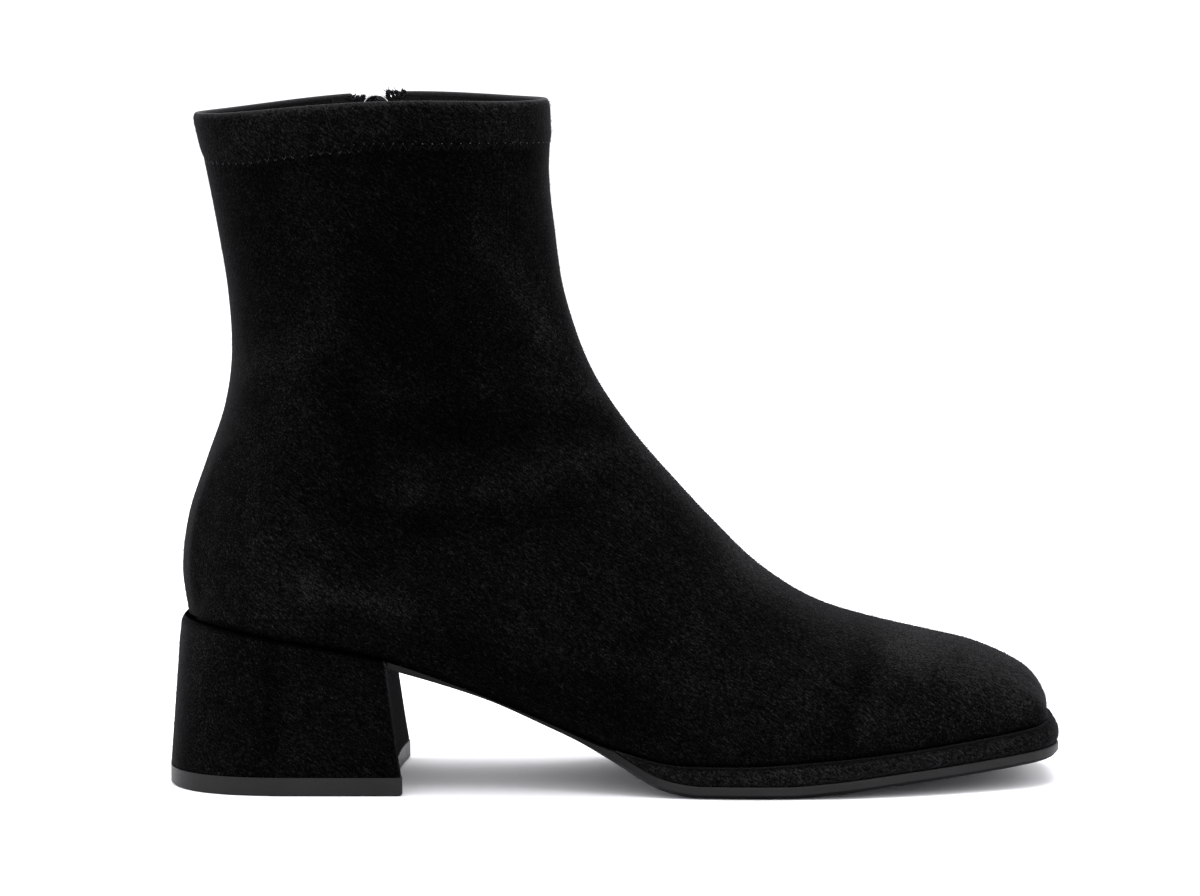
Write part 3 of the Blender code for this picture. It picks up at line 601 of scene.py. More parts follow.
mottle = nap_layer(scale=38.0, detail=3.0, turn=(0.0, 0.3, 0.0), drawn=1.6)
brushed = nap_layer(scale=330.0, detail=3.0, turn=(0.0, -0.93, 0.0), drawn=3.0)
fibres = nap_layer(scale=2300.0, detail=2.0, turn=(0.0, -0.93, 0.0), drawn=3.2)
specks = nap_layer(scale=3600.0, detail=1.0, turn=(0.2, -0.6, 0.1), drawn=2.0)
shade = weighted_sum(nap_tree, [(given.outputs["Lay and light"], 0.20), (mottle, 0.35), (brushed, 0.3),
                                (fibres, 1.2), (specks, 0.9)], start=0.5)
colour = shade_stops(nap_tree, shade, [(0.1, 0.0002), (0.45, 0.0010), (0.7, 0.0034), (1.0, 0.015)])
nap_tree.links.new(colour, result.inputs["Color"])
height = weighted_sum(nap_tree, [(brushed, 0.5), (fibres, 1.0), (specks, 0.6)], start=0.5)
nap_tree.links.new(height, result.inputs["Height"])

SUEDE_GLOW = {"Sheen Weight": 0.07, "Sheen Roughness": 0.3, "Sheen Tint": (0.95, 0.96, 1.0, 1.0)}


def new_suede(name, bump=0.6, glow=SUEDE_GLOW):
    """A suede that glows at a low angle. The piece's own attribute nap_and_painted_light says how its nap
    lies and where light and shade are painted on it.
    """
    material, tree, shader = new_finish(name, {"Roughness": 0.95, "Specular IOR Level": 0.0, **glow})
    nap = add_node(tree, "ShaderNodeGroup", node_tree=nap_tree)
    tree.links.new(add_node(tree, "ShaderNodeTexCoord").outputs["Object"], nap.inputs["Vector"])
    nap_and_light_attribute = add_node(tree, "ShaderNodeAttribute", attribute_name="nap_and_painted_light")
    tree.links.new(nap_and_light_attribute.outputs["Fac"], nap.inputs["Lay and light"])
    tree.links.new(nap.outputs["Color"], shader.inputs["Base Color"])
    add_bump(tree, shader, nap.outputs["Height"], strength=bump, distance=0.35)
    return material


def press_and_shade_joints(bm, slot):
    """Gives the suede in the joints between covered pieces, pressed in and in painted shade, the material of
    a slot.
    """
    nap_and_light_layer = bm.verts.layers.float["nap_and_painted_light"]
    for face in bm.faces:
        pressed_in_shade = all(vert[nap_and_light_layer] < PRESS_AND_SHADE_LIMIT for vert in face.verts)
        if pressed_in_shade and face.material_index == 0:
            face.material_index = slot


def final_mesh(item):
    """The mesh of an object with its modifiers and bevels applied. The object itself is taken away."""
    mesh = bpy.data.meshes.new_from_object(item.evaluated_get(bpy.context.evaluated_depsgraph_get()))
    bpy.data.objects.remove(item)
    return mesh


upper_suede = new_suede("Upper suede")
# A copy of the suede with no sheen for the joints: pressed nap, and painted shade that keeps the groove
# dark.
pressed_shaded_suede = new_suede("Pressed suede in shade", glow={})
# A copy of the suede with stronger sheen for the top of the collar's fold, where the nap stands up, and for
# the heel's breast corners: in part a painted highlight.
highlit_edge_suede = new_suede("Folded edge with painted highlight", glow={**SUEDE_GLOW, "Sheen Weight": 0.25})

bm = bmesh.new()
wall_layer = bm.verts.layers.deform.verify()
nap_and_light_layer = bm.verts.layers.float.new("nap_and_painted_light")
steps = LOW_STEPS + HIGH_STEPS
spans = len(RUNS) - 1
bmesh.ops.create_grid(bm, x_segments=spans * ROWS_PER_SECTION, y_segments=2 * steps * FINER, size=0.5)
skin = []
for vert in bm.verts:
    run = run_of_row((vert.co.x + 0.5) * spans)
    step = steps - abs(vert.co.y) * 2 * steps
    skin.append((vert, run, step, 1 if vert.co.y > 0 else -1))
for vert, run, step, side in skin:
    vert.co = Vector(skin_point(run, step, side)) * MM
    vert[wall_layer][0] = 1.0 if run > RUNS[HEM_ROW] else WALL / (WALL + HEM_STEP)
bmesh.ops.remove_doubles(bm, verts=bm.verts[:], dist=WELD * MM)
toe_edge = [vert for vert, run, _, _ in skin if vert.is_valid and run < RUNS[1]]
bmesh.ops.remove_doubles(bm, verts=toe_edge, dist=TOE_WELD * MM)
bmesh.ops.recalc_face_normals(bm, faces=bm.faces[:])
skin = [entry for entry in skin if entry[0].is_valid]
eased = [vert for vert, run, step, side in skin if is_eased(run, step) and not vert.is_boundary]
for _ in range(EASE_ROUNDS):
    bmesh.ops.smooth_vert(bm, verts=eased, factor=EASE_SHARE,
                          use_axis_x=True, use_axis_y=True, use_axis_z=True)
bm.normal_update()
skin_tree = BVHTree.FromBMesh(bm)
moved = []
for vert, run, step, side in skin:
    x, z = vert.co.x / MM, vert.co.z / MM
    past_hem = soft_step((run - RUNS[HEM_ROW]) / HEM_SOFT)
    above_line = soft_step(0.5 + (z - hem_line(x)) / HEM_EDGE)
    under_line = soft_step(1 + (z - hem_line(x)) / UNDER_HEM_HIGH) * (1 - above_line)
    roll = max(0.0, 1 - (RUNS[-1] - run) / ROLL_RUN) ** 2
    out = HEM_STEP * past_hem - ROLL_IN * roll + band_sum(FOLDS, x, z, side)
    moved.append((vert, vert.normal * out * MM))
    # The suede's tone: the nap's bands with their painted light and shade, a painted highlight on the hem
    # and painted shade under it, a painted highlight on the collar's rolled rim, and pressed nap in painted
    # shade at the joint along the feather line.
    nap_and_light = band_sum(NAP_AND_PAINTED_LIGHT, x, z, side) + HEM_HIGHLIGHT * above_line + UNDER_HEM_SHADE * under_line
    nap_and_light += COLLAR_RIM_HIGHLIGHT * math.exp(-((RUNS[-1] - run) / RIM_RUN) ** 2)
    vert[nap_and_light_layer] = nap_and_light + (joint_press_and_shade(z - section_at(run).base_z) if run <= RUNS[HEEL_ROW] else 0.0)
for vert, move in moved:
    vert.co += move
outer_tree = BVHTree.FromBMesh(bm)
cut_slit(bm)
for _ in range(WELD_ROUNDS):
    weld_slivers(bm)
cut_skin = new_piece("upper_skin", bm, upper_suede, lining)
cut_skin.vertex_groups.new(name="wall")
shell = cut_skin.modifiers.new("Wall", "SOLIDIFY")
shell.thickness = (WALL + HEM_STEP) * MM
shell.offset = -1
shell.use_quality_normals = True
shell.vertex_group = "wall"
shell.material_offset = 1
walled = final_mesh(cut_skin)
bm = bmesh.new()
bm.from_mesh(walled)
bpy.data.meshes.remove(walled)
rim = []
for edge in bm.edges:
    middle = (edge.verts[0].co + edge.verts[1].co) / 2
    if edge.is_manifold and edge.calc_face_angle() > math.radians(RIM_TURN):
        if middle.z > SHAFT_Z * MM or by_slit(middle):
            rim.append(edge)
bmesh.ops.bevel(bm, geom=rim, offset=RIM_ROUND * MM, offset_type="OFFSET", affect="EDGES", segments=3,
                profile=0.5, material=-1, clamp_overlap=False)
press_and_shade_joints(bm, PRESSED_SHADE_SLOT)
bm.normal_update()
# Upward faces at the top of the collar take the suede with stronger sheen: a painted highlight along the
# rim.
for face in bm.faces:
    if face.normal.z > RIM_TOP and face.calc_center_median().z > SHAFT_Z * MM:
        face.material_index = FOLDED_HIGHLIGHT_SLOT
upper = new_piece("upper_suede", bm, upper_suede, lining, pressed_shaded_suede, highlit_edge_suede, sharp=70.0)
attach(upper, "boot")
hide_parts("upper")


# Raised nap: short fibres that stand out of the suede all over and lean down towards the toe. They soften
# its outline, and single ones catch the light.
FIBRE_LONG = 0.75
FIBRE_HALF = 0.05
FIBRE_LIE = (0.8, 0.0, -0.6)
FIBRE_STAND = (0.8, 0.8, 0.8)
FIBRE_STRAY = 0.6
FIBRE_SIZES = (0.5, 1.2)
THIN_LAY = -1.2
THIN_PER_MM2 = 0.1
THICK_LAY = 0.8
THICK_PER_MM2 = 1.4
BAKE_SCALE = 3.6
BAKE_MARGIN = Vector((0.5, 0.1))

fibre_nap, tree, shader = new_finish("Raised nap", {
    "Roughness": 0.95, "Specular IOR Level": 0.0, **SUEDE_GLOW})
place = add_node(tree, "ShaderNodeTexCoord").outputs["Object"]
flat = add_node(tree, "ShaderNodeMapping", {"Scale": (1.0, 0.0, 1.0)})
strands = add_node(tree, "ShaderNodeTexNoise", {"Scale": 700.0, "Detail": 2.0})
tree.links.new(place, flat.inputs["Vector"])
tree.links.new(flat.outputs["Vector"], strands.inputs["Vector"])
add_tone(tree, shader, strands.outputs["Fac"], [(0.3, 0.002), (0.7, 0.012)])


def new_nap(name, ground, suede, seed):
    """Fibres scattered over the suede of a piece, as one mesh."""
    field = bpy.data.node_groups.new(name, "GeometryNodeTree")
    for way in ("INPUT", "OUTPUT"):
        field.interface.new_socket("Geometry", in_out=way, socket_type="NodeSocketGeometry")
    given, result = add_node(field, "NodeGroupInput"), add_node(field, "NodeGroupOutput")
    chosen = add_node(field, "GeometryNodeMaterialSelection", {"Material": suede})
    nap_and_light = add_node(field, "GeometryNodeInputNamedAttribute", {"Name": "nap_and_painted_light"}, data_type="FLOAT")
    density = add_node(field, "ShaderNodeMapRange", {
        "From Min": THIN_LAY, "From Max": THICK_LAY,
        "To Min": THIN_PER_MM2 / MM ** 2, "To Max": THICK_PER_MM2 / MM ** 2})
    spots = add_node(field, "GeometryNodeDistributePointsOnFaces", {"Seed": seed})
    fibre = add_node(field, "GeometryNodeMeshCone", {
        "Vertices": 3, "Radius Top": 0.0, "Radius Bottom": FIBRE_HALF * MM, "Depth": FIBRE_LONG * MM},
        fill_type="NONE")
    leaning = add_node(field, "ShaderNodeVectorMath", {1: FIBRE_STAND, 2: FIBRE_LIE},
                       operation="MULTIPLY_ADD")
    stray = add_node(field, "FunctionNodeRandomValue", {
        0: [-FIBRE_STRAY] * 3, 1: [FIBRE_STRAY] * 3, "Seed": seed}, data_type="FLOAT_VECTOR")
    way = add_node(field, "ShaderNodeVectorMath", operation="ADD")
    turned = add_node(field, "FunctionNodeAlignRotationToVector", axis="Z")
    sized = add_node(field, "FunctionNodeRandomValue", {
        2: FIBRE_SIZES[0], 3: FIBRE_SIZES[1], "Seed": seed + 1}, data_type="FLOAT")
    kept = add_node(field, "GeometryNodeStoreNamedAttribute", {"Name": "ground"}, data_type="FLOAT_VECTOR")
    planted = add_node(field, "GeometryNodeInstanceOnPoints")
    joined = add_node(field, "GeometryNodeRealizeInstances")
    for source, target in (
            (given.outputs["Geometry"], spots.inputs["Mesh"]),
            (chosen.outputs[0], spots.inputs["Selection"]),
            (nap_and_light.outputs["Attribute"], density.inputs["Value"]),
            (density.outputs["Result"], spots.inputs["Density"]),
            (spots.outputs["Normal"], leaning.inputs[0]),
            (leaning.outputs[0], way.inputs[0]),
            (stray.outputs[0], way.inputs[1]),
            (way.outputs[0], turned.inputs["Vector"]),
            (spots.outputs["Points"], kept.inputs["Geometry"]),
            (spots.outputs["Normal"], kept.inputs["Value"]),
            (kept.outputs["Geometry"], planted.inputs["Points"]),
            (fibre.outputs["Mesh"], planted.inputs["Instance"]),
            (turned.outputs["Rotation"], planted.inputs["Rotation"]),
            (sized.outputs[1], planted.inputs["Scale"]),
            (planted.outputs["Instances"], joined.inputs["Geometry"]),
            (joined.outputs["Geometry"], result.inputs["Geometry"])):
        field.links.new(source, target)
    seeded = new_object(name + "_field", ground.data)
    seeded.modifiers.new("Nap", "NODES").node_group = field
    mesh = final_mesh(seeded)
    mesh.name = name
    mesh.materials.clear()
    mesh.materials.append(fibre_nap)
    mesh.shade_smooth()
    mesh.normals_split_custom_set_from_vertices([at.vector.copy() for at in mesh.attributes["ground"].data])
    mesh.attributes.remove(mesh.attributes["ground"])
    side_map = mesh.uv_layers.new(name="OFBake")
    for loop in mesh.loops:
        at = mesh.vertices[loop.vertex_index].co
        side_map.uv[loop.index].vector = BAKE_MARGIN + at.xz * BAKE_SCALE
    piece = new_object(name, mesh)
    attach(piece, "boot")
    return piece


upper_nap = new_nap("upper_nap", upper, upper_suede, seed=3)


# Hem stitching: one row of zigzag sewn round the collar with a fine twisted thread, which holds the fold
# down and stretches with it.
HEM_PITCH = 2.7
HEM_HALF = 1.15
THREAD_RADIUS = 0.14
THREAD_RISE = -0.04
HEM_SINK = 0.12
SLIT_CLEAR = 2.0
LEG_PARTS = 4

thread, tree, shader = new_finish("Twisted thread", {"Roughness": 0.8, "Specular IOR Level": 0.02})
twist = textured(tree, "Wave", {"Scale": 900.0, "Distortion": 2.0}, bands_direction="DIAGONAL")
add_tone(tree, shader, twist, [(0.2, 0.002), (0.8, 0.007)])
add_bump(tree, shader, twist, strength=0.5, distance=0.1)


def on_suede(point, rise):
    """The nearest point of the upper's outside in metres, lifted off it by a rise."""
    at, out, _, _ = outer_tree.find_nearest(Vector(point) * MM)
    return at + out * rise * MM


def stitch_rise(share):
    """How far a stitch stands off the suede along its length: its ends go down into it."""
    return THREAD_RISE - 2 * THREAD_RADIUS * (2 * share - 1) ** 4


def thread_piece(name, paths):
    """Threads along paths of points in metres, as one mesh."""
    curve = bpy.data.curves.new(name, "CURVE")
    curve.dimensions = "3D"
    curve.bevel_depth = THREAD_RADIUS * MM
    curve.bevel_resolution = 1
    curve.use_fill_caps = True
    for path in paths:
        spline = curve.splines.new("POLY")
        spline.points.add(len(path) - 1)
        for point, at in zip(spline.points, path):
            point.co = (*at, 1.0)
    mesh = final_mesh(new_object(name + "_path", curve))
    bpy.data.curves.remove(curve)
    mesh.name = name
    mesh.shade_smooth()
    mesh.materials.clear()
    mesh.materials.append(thread)
    return new_object(name, mesh)


def collar_ring(above):
    """Points round the collar at a height above the hem's line, from one edge of the slit to the other."""
    points = []
    for k in range(-steps * FINER, steps * FINER + 1):
        x, y, _ = skin_point(RUNS[HEM_ROW], steps - abs(k) / FINER, 1 if k > 0 else -1)
        points.append(Vector((x, y, hem_line(x) + above)))
    clear = SLIT_TOP_WIDTH / 2 + SLIT_CLEAR
    slit = [k for k, at in enumerate(points) if at.y > 0 and abs(at.x - zip_x(at.z)) < clear]
    return points[slit[-1] + 1:-1] + points[:slit[0]]


def evenly(points, count):
    """Points at equal steps along a line of points."""
    lengths = [0.0]
    for before, after in zip(points, points[1:]):
        lengths.append(lengths[-1] + (after - before).length)
    spaced, i = [], 0
    for k in range(count + 1):
        want = lengths[-1] * k / count
        while i < len(points) - 2 and lengths[i + 1] < want:
            i += 1
        share = (want - lengths[i]) / max(lengths[i + 1] - lengths[i], WELD)
        spaced.append(points[i].lerp(points[i + 1], min(share, 1.0)))
    return spaced


tops = collar_ring(HEM_HALF)
feet = collar_ring(-HEM_HALF)
stitches = round(sum((b - a).length for a, b in zip(tops, tops[1:])) / HEM_PITCH)
high, low = evenly(tops, 2 * stitches), evenly(feet, 2 * stitches)
corners = [high[k] if k % 2 else low[k] for k in range(2 * stitches + 1)]
draw = random.Random(13)
paths = []
for start, end in zip(corners, corners[1:]):
    sunk = draw.uniform(0.0, HEM_SINK)
    shares = [k / LEG_PARTS for k in range(LEG_PARTS + 1)]
    paths.append([on_suede(start.lerp(end, share), stitch_rise(share) - sunk) for share in shares])
hem_zigzag = thread_piece("hem_zigzag", paths)
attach(hem_zigzag, "boot")


# Thread loops: where the thread turns at the points of the zigzag it stands out in small loops at the upper
# points towards the front, and in short strokes at the lower ones towards the back. They are coloured
# lighter than the thread as a painted glint.
LOOP_HALF = (0.15, 0.27)
LOOP_PROUD = 0.05
LOOP_BACK_X = -94.0
LOOP_FRONT_X = -58.0
LOOP_LEAST = 0.25
STROKE_HALF = (0.0425, 0.085)
STROKE_SHARE = (0.135, 0.675)

# A lighter copy of the twisted thread: a painted glint.
glinting_thread, tree, shader = new_finish("Thread loop glints", {"Roughness": 0.55, "Specular IOR Level": 0.2})
glint = textured(tree, "Noise", {"Scale": 800.0, "Detail": 2.0})
add_tone(tree, shader, glint, [(0.3, 0.012), (0.7, 0.038)])
add_bump(tree, shader, glint, strength=0.4, distance=0.1)

draw = random.Random(5)
bm = bmesh.new()
for k, corner in enumerate(corners):
    front = soft_step((corner.x - LOOP_BACK_X) / (LOOP_FRONT_X - LOOP_BACK_X))
    halves = [draw.uniform(*LOOP_HALF) * front for _ in range(3)]
    if k % 2 == 1 and front > LOOP_LEAST:
        loop = Matrix.Translation(on_suede(corner, LOOP_PROUD)) @ Matrix.Diagonal((*halves, 1.0))
        bmesh.ops.create_icosphere(bm, subdivisions=1, radius=MM, matrix=loop)
    if k % 2 == 0 and front < 1 - LOOP_LEAST:
        for other in corners[max(k - 1, 0):k + 2:2]:
            end = corner.lerp(other, draw.uniform(*STROKE_SHARE))
            foot, tip = on_suede(corner, 0.0), on_suede(end, 0.0)
            turned = (tip - foot).to_track_quat("Z", "X").to_matrix().to_4x4()
            half = draw.uniform(*STROKE_HALF) * MM
            drawn_out = Matrix.Diagonal((half, half, (tip - foot).length / 2, 1.0))
            stroke = Matrix.Translation((foot + tip) / 2) @ turned @ drawn_out
            bmesh.ops.create_icosphere(bm, subdivisions=1, radius=1.0, matrix=stroke)
hem_loop_glints = new_piece("hem_loop_glints", bm, glinting_thread)
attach(hem_loop_glints, "boot")


# Zip tape: two woven polyester tapes sewn behind the slit, which part at the top round the slider. Their
# cut ends are frayed and stand just above the collar.
TAPE_WIDTH = 26.0
TAPE_THICK = 0.7
TAPE_CLEAR = 0.5
TAPE_TOP_DROP = 0.4
TAPE_NOTCH_WIDTH = 6.4
TAPE_NOTCH_DEPTH = 7.6
TAPE_NOTCH_RUN = 3.0
TAPE_PART = 0.15
TAPE_PARTS = (70, 8, 1)
ZIP_SHAPE_TOP_Z = 192.7
TUFTS = 75
TUFT_SPREAD = 5.5
TUFT_CROWD = 1.5
TUFT_LIFT = (-0.9, 0.35)
TUFT_RISE = {-1: 0.0, 1: 2.0}
TUFT_DEPTH = (0.2, 1.3)
TUFT_LEAN = (-1.1, 1.1)
TUFT_HALF = (0.25, 0.5)
TUFT_HIGH_HALF = (0.4, 0.8)
STRAND_SHARE = 0.4
STRAND_LONG = (0.64, 1.6)
STRAND_FOOT = 0.16
STRAND_TIP = 0.07

tape_cloth, tree, shader = new_finish("Woven tape", {
    "Roughness": 0.85, "Specular IOR Level": 0.12, "Sheen Weight": 0.04, "Sheen Roughness": 0.5})
ribs = textured(tree, "Wave", {"Scale": 420.0, "Distortion": 0.6}, bands_direction="X")
picks = textured(tree, "Wave", {"Scale": 520.0, "Distortion": 0.8}, bands_direction="Z")
weave = weighted_sum(tree, [(ribs, 0.5), (picks, 0.5)])
add_tone(tree, shader, weave, [(0.2, 0.003), (0.8, 0.006)])
add_bump(tree, shader, weave, strength=0.6, distance=0.2)


def zip_point(z, across, depth):
    """A point beside the zip's middle line, at a depth under the outside of the upper."""
    start = Vector((zip_x(z) + across, AXIS_Y, min(z, ZIP_SHAPE_TOP_Z)))
    at, out, _, _ = skin_tree.ray_cast(start * MM, Vector((0.0, 1.0, 0.0)))
    rise = Vector((0.0, 0.0, max(z - ZIP_SHAPE_TOP_Z, 0.0)))
    return at / MM - out * depth + rise


tape_foot = ZIP_FOOT_Z - SLIT_WIDTH
tape_top = ZIP_TOP_Z - TAPE_TOP_DROP


def tape_edge(z):
    """How far the inner edge of a tape lies from the middle of the zip."""
    notch = soft_step((z - tape_top + TAPE_NOTCH_DEPTH) / TAPE_NOTCH_RUN)
    return TAPE_PART + notch * TAPE_NOTCH_WIDTH / 2


def tape_shape(side):
    def shape(along, across, rise):
        z = tape_foot + along * (tape_top - tape_foot)
        edge = tape_edge(z)
        depth = WALL + TAPE_CLEAR + (1 - rise) * TAPE_THICK
        return zip_point(z, side * (edge + across * (TAPE_WIDTH / 2 - edge)), depth)
    return shape


bm = bmesh.new()
for side in (-1, 1):
    half = shaped_block(TAPE_PARTS, tape_shape(side))
    mesh = bpy.data.meshes.new("tape_half")
    half.to_mesh(mesh)
    half.free()
    bm.from_mesh(mesh)
    bpy.data.meshes.remove(mesh)
draw = random.Random(7)
for side in (-1, 1):
    for _ in range(TUFTS):
        across = side * (tape_edge(tape_top) + TUFT_SPREAD * draw.random() ** TUFT_CROWD)
        rise = draw.uniform(*TUFT_LIFT) + TUFT_RISE[side] * draw.random()
        at = zip_point(tape_top + rise, across, WALL + draw.uniform(*TUFT_DEPTH))
        spot = Matrix.Translation(at * MM)
        for axis in "XY":
            spot = spot @ Matrix.Rotation(draw.uniform(*TUFT_LEAN), 4, axis)
        halves = [draw.uniform(*span) for span in (TUFT_HALF, TUFT_HALF, TUFT_HIGH_HALF)]
        tuft = spot @ Matrix.Diagonal((*halves, 1.0))
        bmesh.ops.create_icosphere(bm, subdivisions=1, radius=MM, matrix=tuft)
        if draw.random() < STRAND_SHARE:
            length = draw.uniform(*STRAND_LONG) * MM
            stand = spot @ Matrix.Translation((0.0, 0.0, length / 2))
            bmesh.ops.create_cone(bm, cap_ends=True, segments=5, radius1=STRAND_FOOT * MM,
                                  radius2=STRAND_TIP * MM, depth=length, matrix=stand)
zip_tapes = new_piece("zip_tapes", bm, tape_cloth)
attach(zip_tapes, "boot")
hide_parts("zip_tape")


# Zip chain: a closed nylon coil. Its turns show as two rows of small rounded teeth that mesh in the middle.
CHAIN_WIDTH = 5.2
CHAIN_DEPTH = 0.35
CHAIN_THICK = 1.4
CHAIN_FOOT_DROP = 3.5
TOOTH_PITCH = 1.45
TOOTH_LONG = 1.55
TOOTH_HALF = 0.493
SLIDER_Z = 190.2
POST_FROM = 1.2

coil_nylon, tree, shader = new_finish("Coil nylon", {"Roughness": 0.38, "Specular IOR Level": 0.45})
drawn_lines = textured(tree, "Noise", {"Scale": 900.0, "Detail": 2.0})
add_tone(tree, shader, drawn_lines, [(0.3, 0.010), (0.7, 0.020)])
add_bump(tree, shader, drawn_lines, strength=0.2, distance=0.1)

bm = bmesh.new()
chain_foot = ZIP_FOOT_Z - CHAIN_FOOT_DROP
chain_top = SLIDER_Z + POST_FROM - GAP
count = int((chain_top - chain_foot) / TOOTH_PITCH)
depth = CHAIN_DEPTH + CHAIN_THICK / 2
for k in range(2 * count):
    across = (CHAIN_WIDTH / 2 - TOOTH_LONG) * (1 if k % 2 else -1)
    z = chain_foot + TOOTH_PITCH * (k / 2 + 0.5)
    middle = zip_point(z, across, depth)
    x_way = (zip_point(z, across + 1.0, depth) - middle).normalized()
    y_way = (zip_point(z + 1.0, across, depth) - middle).cross(x_way).normalized()
    turned = Matrix((x_way, y_way, x_way.cross(y_way))).transposed().to_4x4()
    sized = Matrix.Diagonal((TOOTH_LONG, CHAIN_THICK / 2, TOOTH_HALF, 1.0))
    bmesh.ops.create_uvsphere(bm, u_segments=8, v_segments=6, radius=MM,
                              matrix=Matrix.Translation(middle * MM) @ turned @ sized)
zip_coil = new_piece("zip_coil", bm, coil_nylon)
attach(zip_coil, "boot")
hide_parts("zip_chain")


# Zip slider: die-cast, polished and nickel plated. Two plates hold the coil, and a bail on the outer plate
# holds the pull.
BROAD_FACE = 1.5
BROAD_INSET = 0.12
FLAT_TURN = 2.0
EDGE_TURN = 35.0
SLIDER_ROUND = 0.45

nickel, tree, shader = new_finish("Bright nickel", {"Metallic": 1.0})
smears = textured(tree, "Noise", {"Scale": 500.0, "Detail": 3.0})
add_tone(tree, shader, smears, [(0.3, 0.33), (0.7, 0.45)])
tree.links.new(shade_stops(tree, smears, [(0.3, 0.06), (0.7, 0.14)]), shader.inputs["Roughness"])
add_bump(tree, shader, smears, strength=0.1, distance=0.1)


def rounded_copy(node, name, offset):
    """A copy of a metal node with its edges rounded as a casting's are."""
    bm = bmesh.new()
    bm.from_mesh(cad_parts[node].data)
    bmesh.ops.remove_doubles(bm, verts=bm.verts[:], dist=WELD * MM)
    bmesh.ops.dissolve_limit(bm, angle_limit=math.radians(FLAT_TURN), verts=bm.verts[:], edges=bm.edges[:])
    turn = math.radians(EDGE_TURN)
    sharp = [edge for edge in bm.edges if edge.is_manifold and edge.calc_face_angle() > turn]
    bmesh.ops.bevel(bm, geom=sharp, offset=offset * MM, offset_type="OFFSET", affect="EDGES", segments=2,
                    profile=0.5, material=-1, clamp_overlap=True)
    broad = [face for face in bm.faces if face.calc_area() > BROAD_FACE * MM ** 2]
    bmesh.ops.inset_individual(bm, faces=broad, thickness=BROAD_INSET * MM)
    return new_piece(name, bm, nickel, sharp=50.0)


slider = rounded_copy("zip_slider", "slider_casting", SLIDER_ROUND)
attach(slider, "boot")
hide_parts("zip_slider")


# Zip pull: a flat stamped tab of the same metal, which hangs from the bail by its top bar.
PULL_ROUND = 0.2

pull = rounded_copy("zip_pull", "pull_stamping", PULL_ROUND)
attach(pull, "pull_tab")
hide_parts("zip_pull")


# Slit stitching: a row of lockstitch down each side of the slit and round its foot, through suede and tape.
STITCH_PITCH = 2.6
STITCH_POINTS = 6
SEAM_OUT = 2.0
SEAM_TOP_DROP = 2.0
SEAM_STEPS = 60
TURN_STEPS = 24

radius = SLIT_WIDTH / 2 + SEAM_OUT
seam_high = ZIP_TOP_Z - SEAM_TOP_DROP - ZIP_FOOT_Z


def beside_slit(share, side):
    """The seam's place beside the slit at a share of its height."""
    z = ZIP_FOOT_Z + seam_high * share
    widening = (SLIT_TOP_WIDTH - SLIT_WIDTH) / 2 * (z - ZIP_FOOT_Z) / (SLIT_TOP_Z - ZIP_FOOT_Z)
    return zip_x(z) + side * (radius + widening), z


line = [beside_slit(1 - k / SEAM_STEPS, -1) for k in range(SEAM_STEPS)]
for k in range(TURN_STEPS):
    turn = math.pi + math.pi * k / TURN_STEPS
    line.append((ZIP_FOOT_X + radius * math.cos(turn), ZIP_FOOT_Z + radius * math.sin(turn)))
line += [beside_slit(k / SEAM_STEPS, 1) for k in range(SEAM_STEPS + 1)]
seam = []
for x, z in line:
    start = Vector((x, AXIS_Y, z)) * MM
    at, _, _, _ = outer_tree.ray_cast(start, Vector((0.0, 1.0, 0.0)))
    seam.append(at / MM)
length = sum((b - a).length for a, b in zip(seam, seam[1:]))
count = int(length / STITCH_PITCH)
spots = evenly(seam, count * STITCH_POINTS)
paths = []
for k in range(count):
    stitch = spots[STITCH_POINTS * k:STITCH_POINTS * (k + 1)]
    paths.append([on_suede(at, stitch_rise(i / (STITCH_POINTS - 1))) for i, at in enumerate(stitch)])
slit_stitches = thread_piece("slit_stitches", paths)
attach(slit_stitches, "boot")


# Covered midsole: a thin platform under the forefoot wrapped in the same suede, whose rounded rim stands
# out round the toe and fades out at the waist. It is glued between the upper and the outsole.
SOLE_THICK = 3.35
MIDSOLE_END_X = 0.0
MIDSOLE_FADE = 11.2
MIDSOLE_LAY = 0.9
MIDSOLE_PARTS = (110, 24, 12)
MIDSOLE_PRESSED_SHADE_SLOT = 1

# Height of the walking face along the sole: toe spring, the flat spot under the ball, the arch to the heel.
TREAD = {130.0: 8.0, 108.0: 5.7, 80.0: 2.9, 63.0: 1.1, 48.0: 0.0, 24.0: 0.0, 18.0: 0.6, 12.3: 2.0, 6.7: 4.8,
         1.0: 8.4, -10.0: 14.9, -22.0: 20.4, -36.0: 26.5, -50.0: 31.2, -66.0: 36.1}

# How the walking face is bevelled up to the sole's edge: how far in the bevel starts and how much it rises.
BEVEL_WIDE = {130.0: 7.0, 10.0: 7.0, -20.0: 1.2, -66.0: 1.2}
BEVEL_RISE = {130.0: 0.3, 10.0: 0.3, -20.0: 0.0, -66.0: 0.0}

# How far the sole stands out past the foot of the upper along it.
RIM = {130.0: 3.2, 60.0: 2.9, 25.0: 2.6, 0.0: 1.3, -25.0: 0.1, -66.0: -0.4}

# How much of the rim the side of the midsole draws in, from its lower edge (0) to its top (1).
MIDSOLE_EDGE = {0.0: 0.25, 0.2: 0.02, 0.55: 0.0, 0.75: 0.1, 0.88: 0.29, 0.96: 0.52, 1.0: 0.85}

tread_height = table_curve(TREAD)
bevel_width = table_curve(BEVEL_WIDE)
bevel_rise = table_curve(BEVEL_RISE)
rim_width = table_curve(RIM)
midsole_draw = table_curve(MIDSOLE_EDGE)


def outsole_top(x):
    return min(tread_height(x) + bevel_rise(x) + SOLE_THICK, feather_height(x) - GAP)


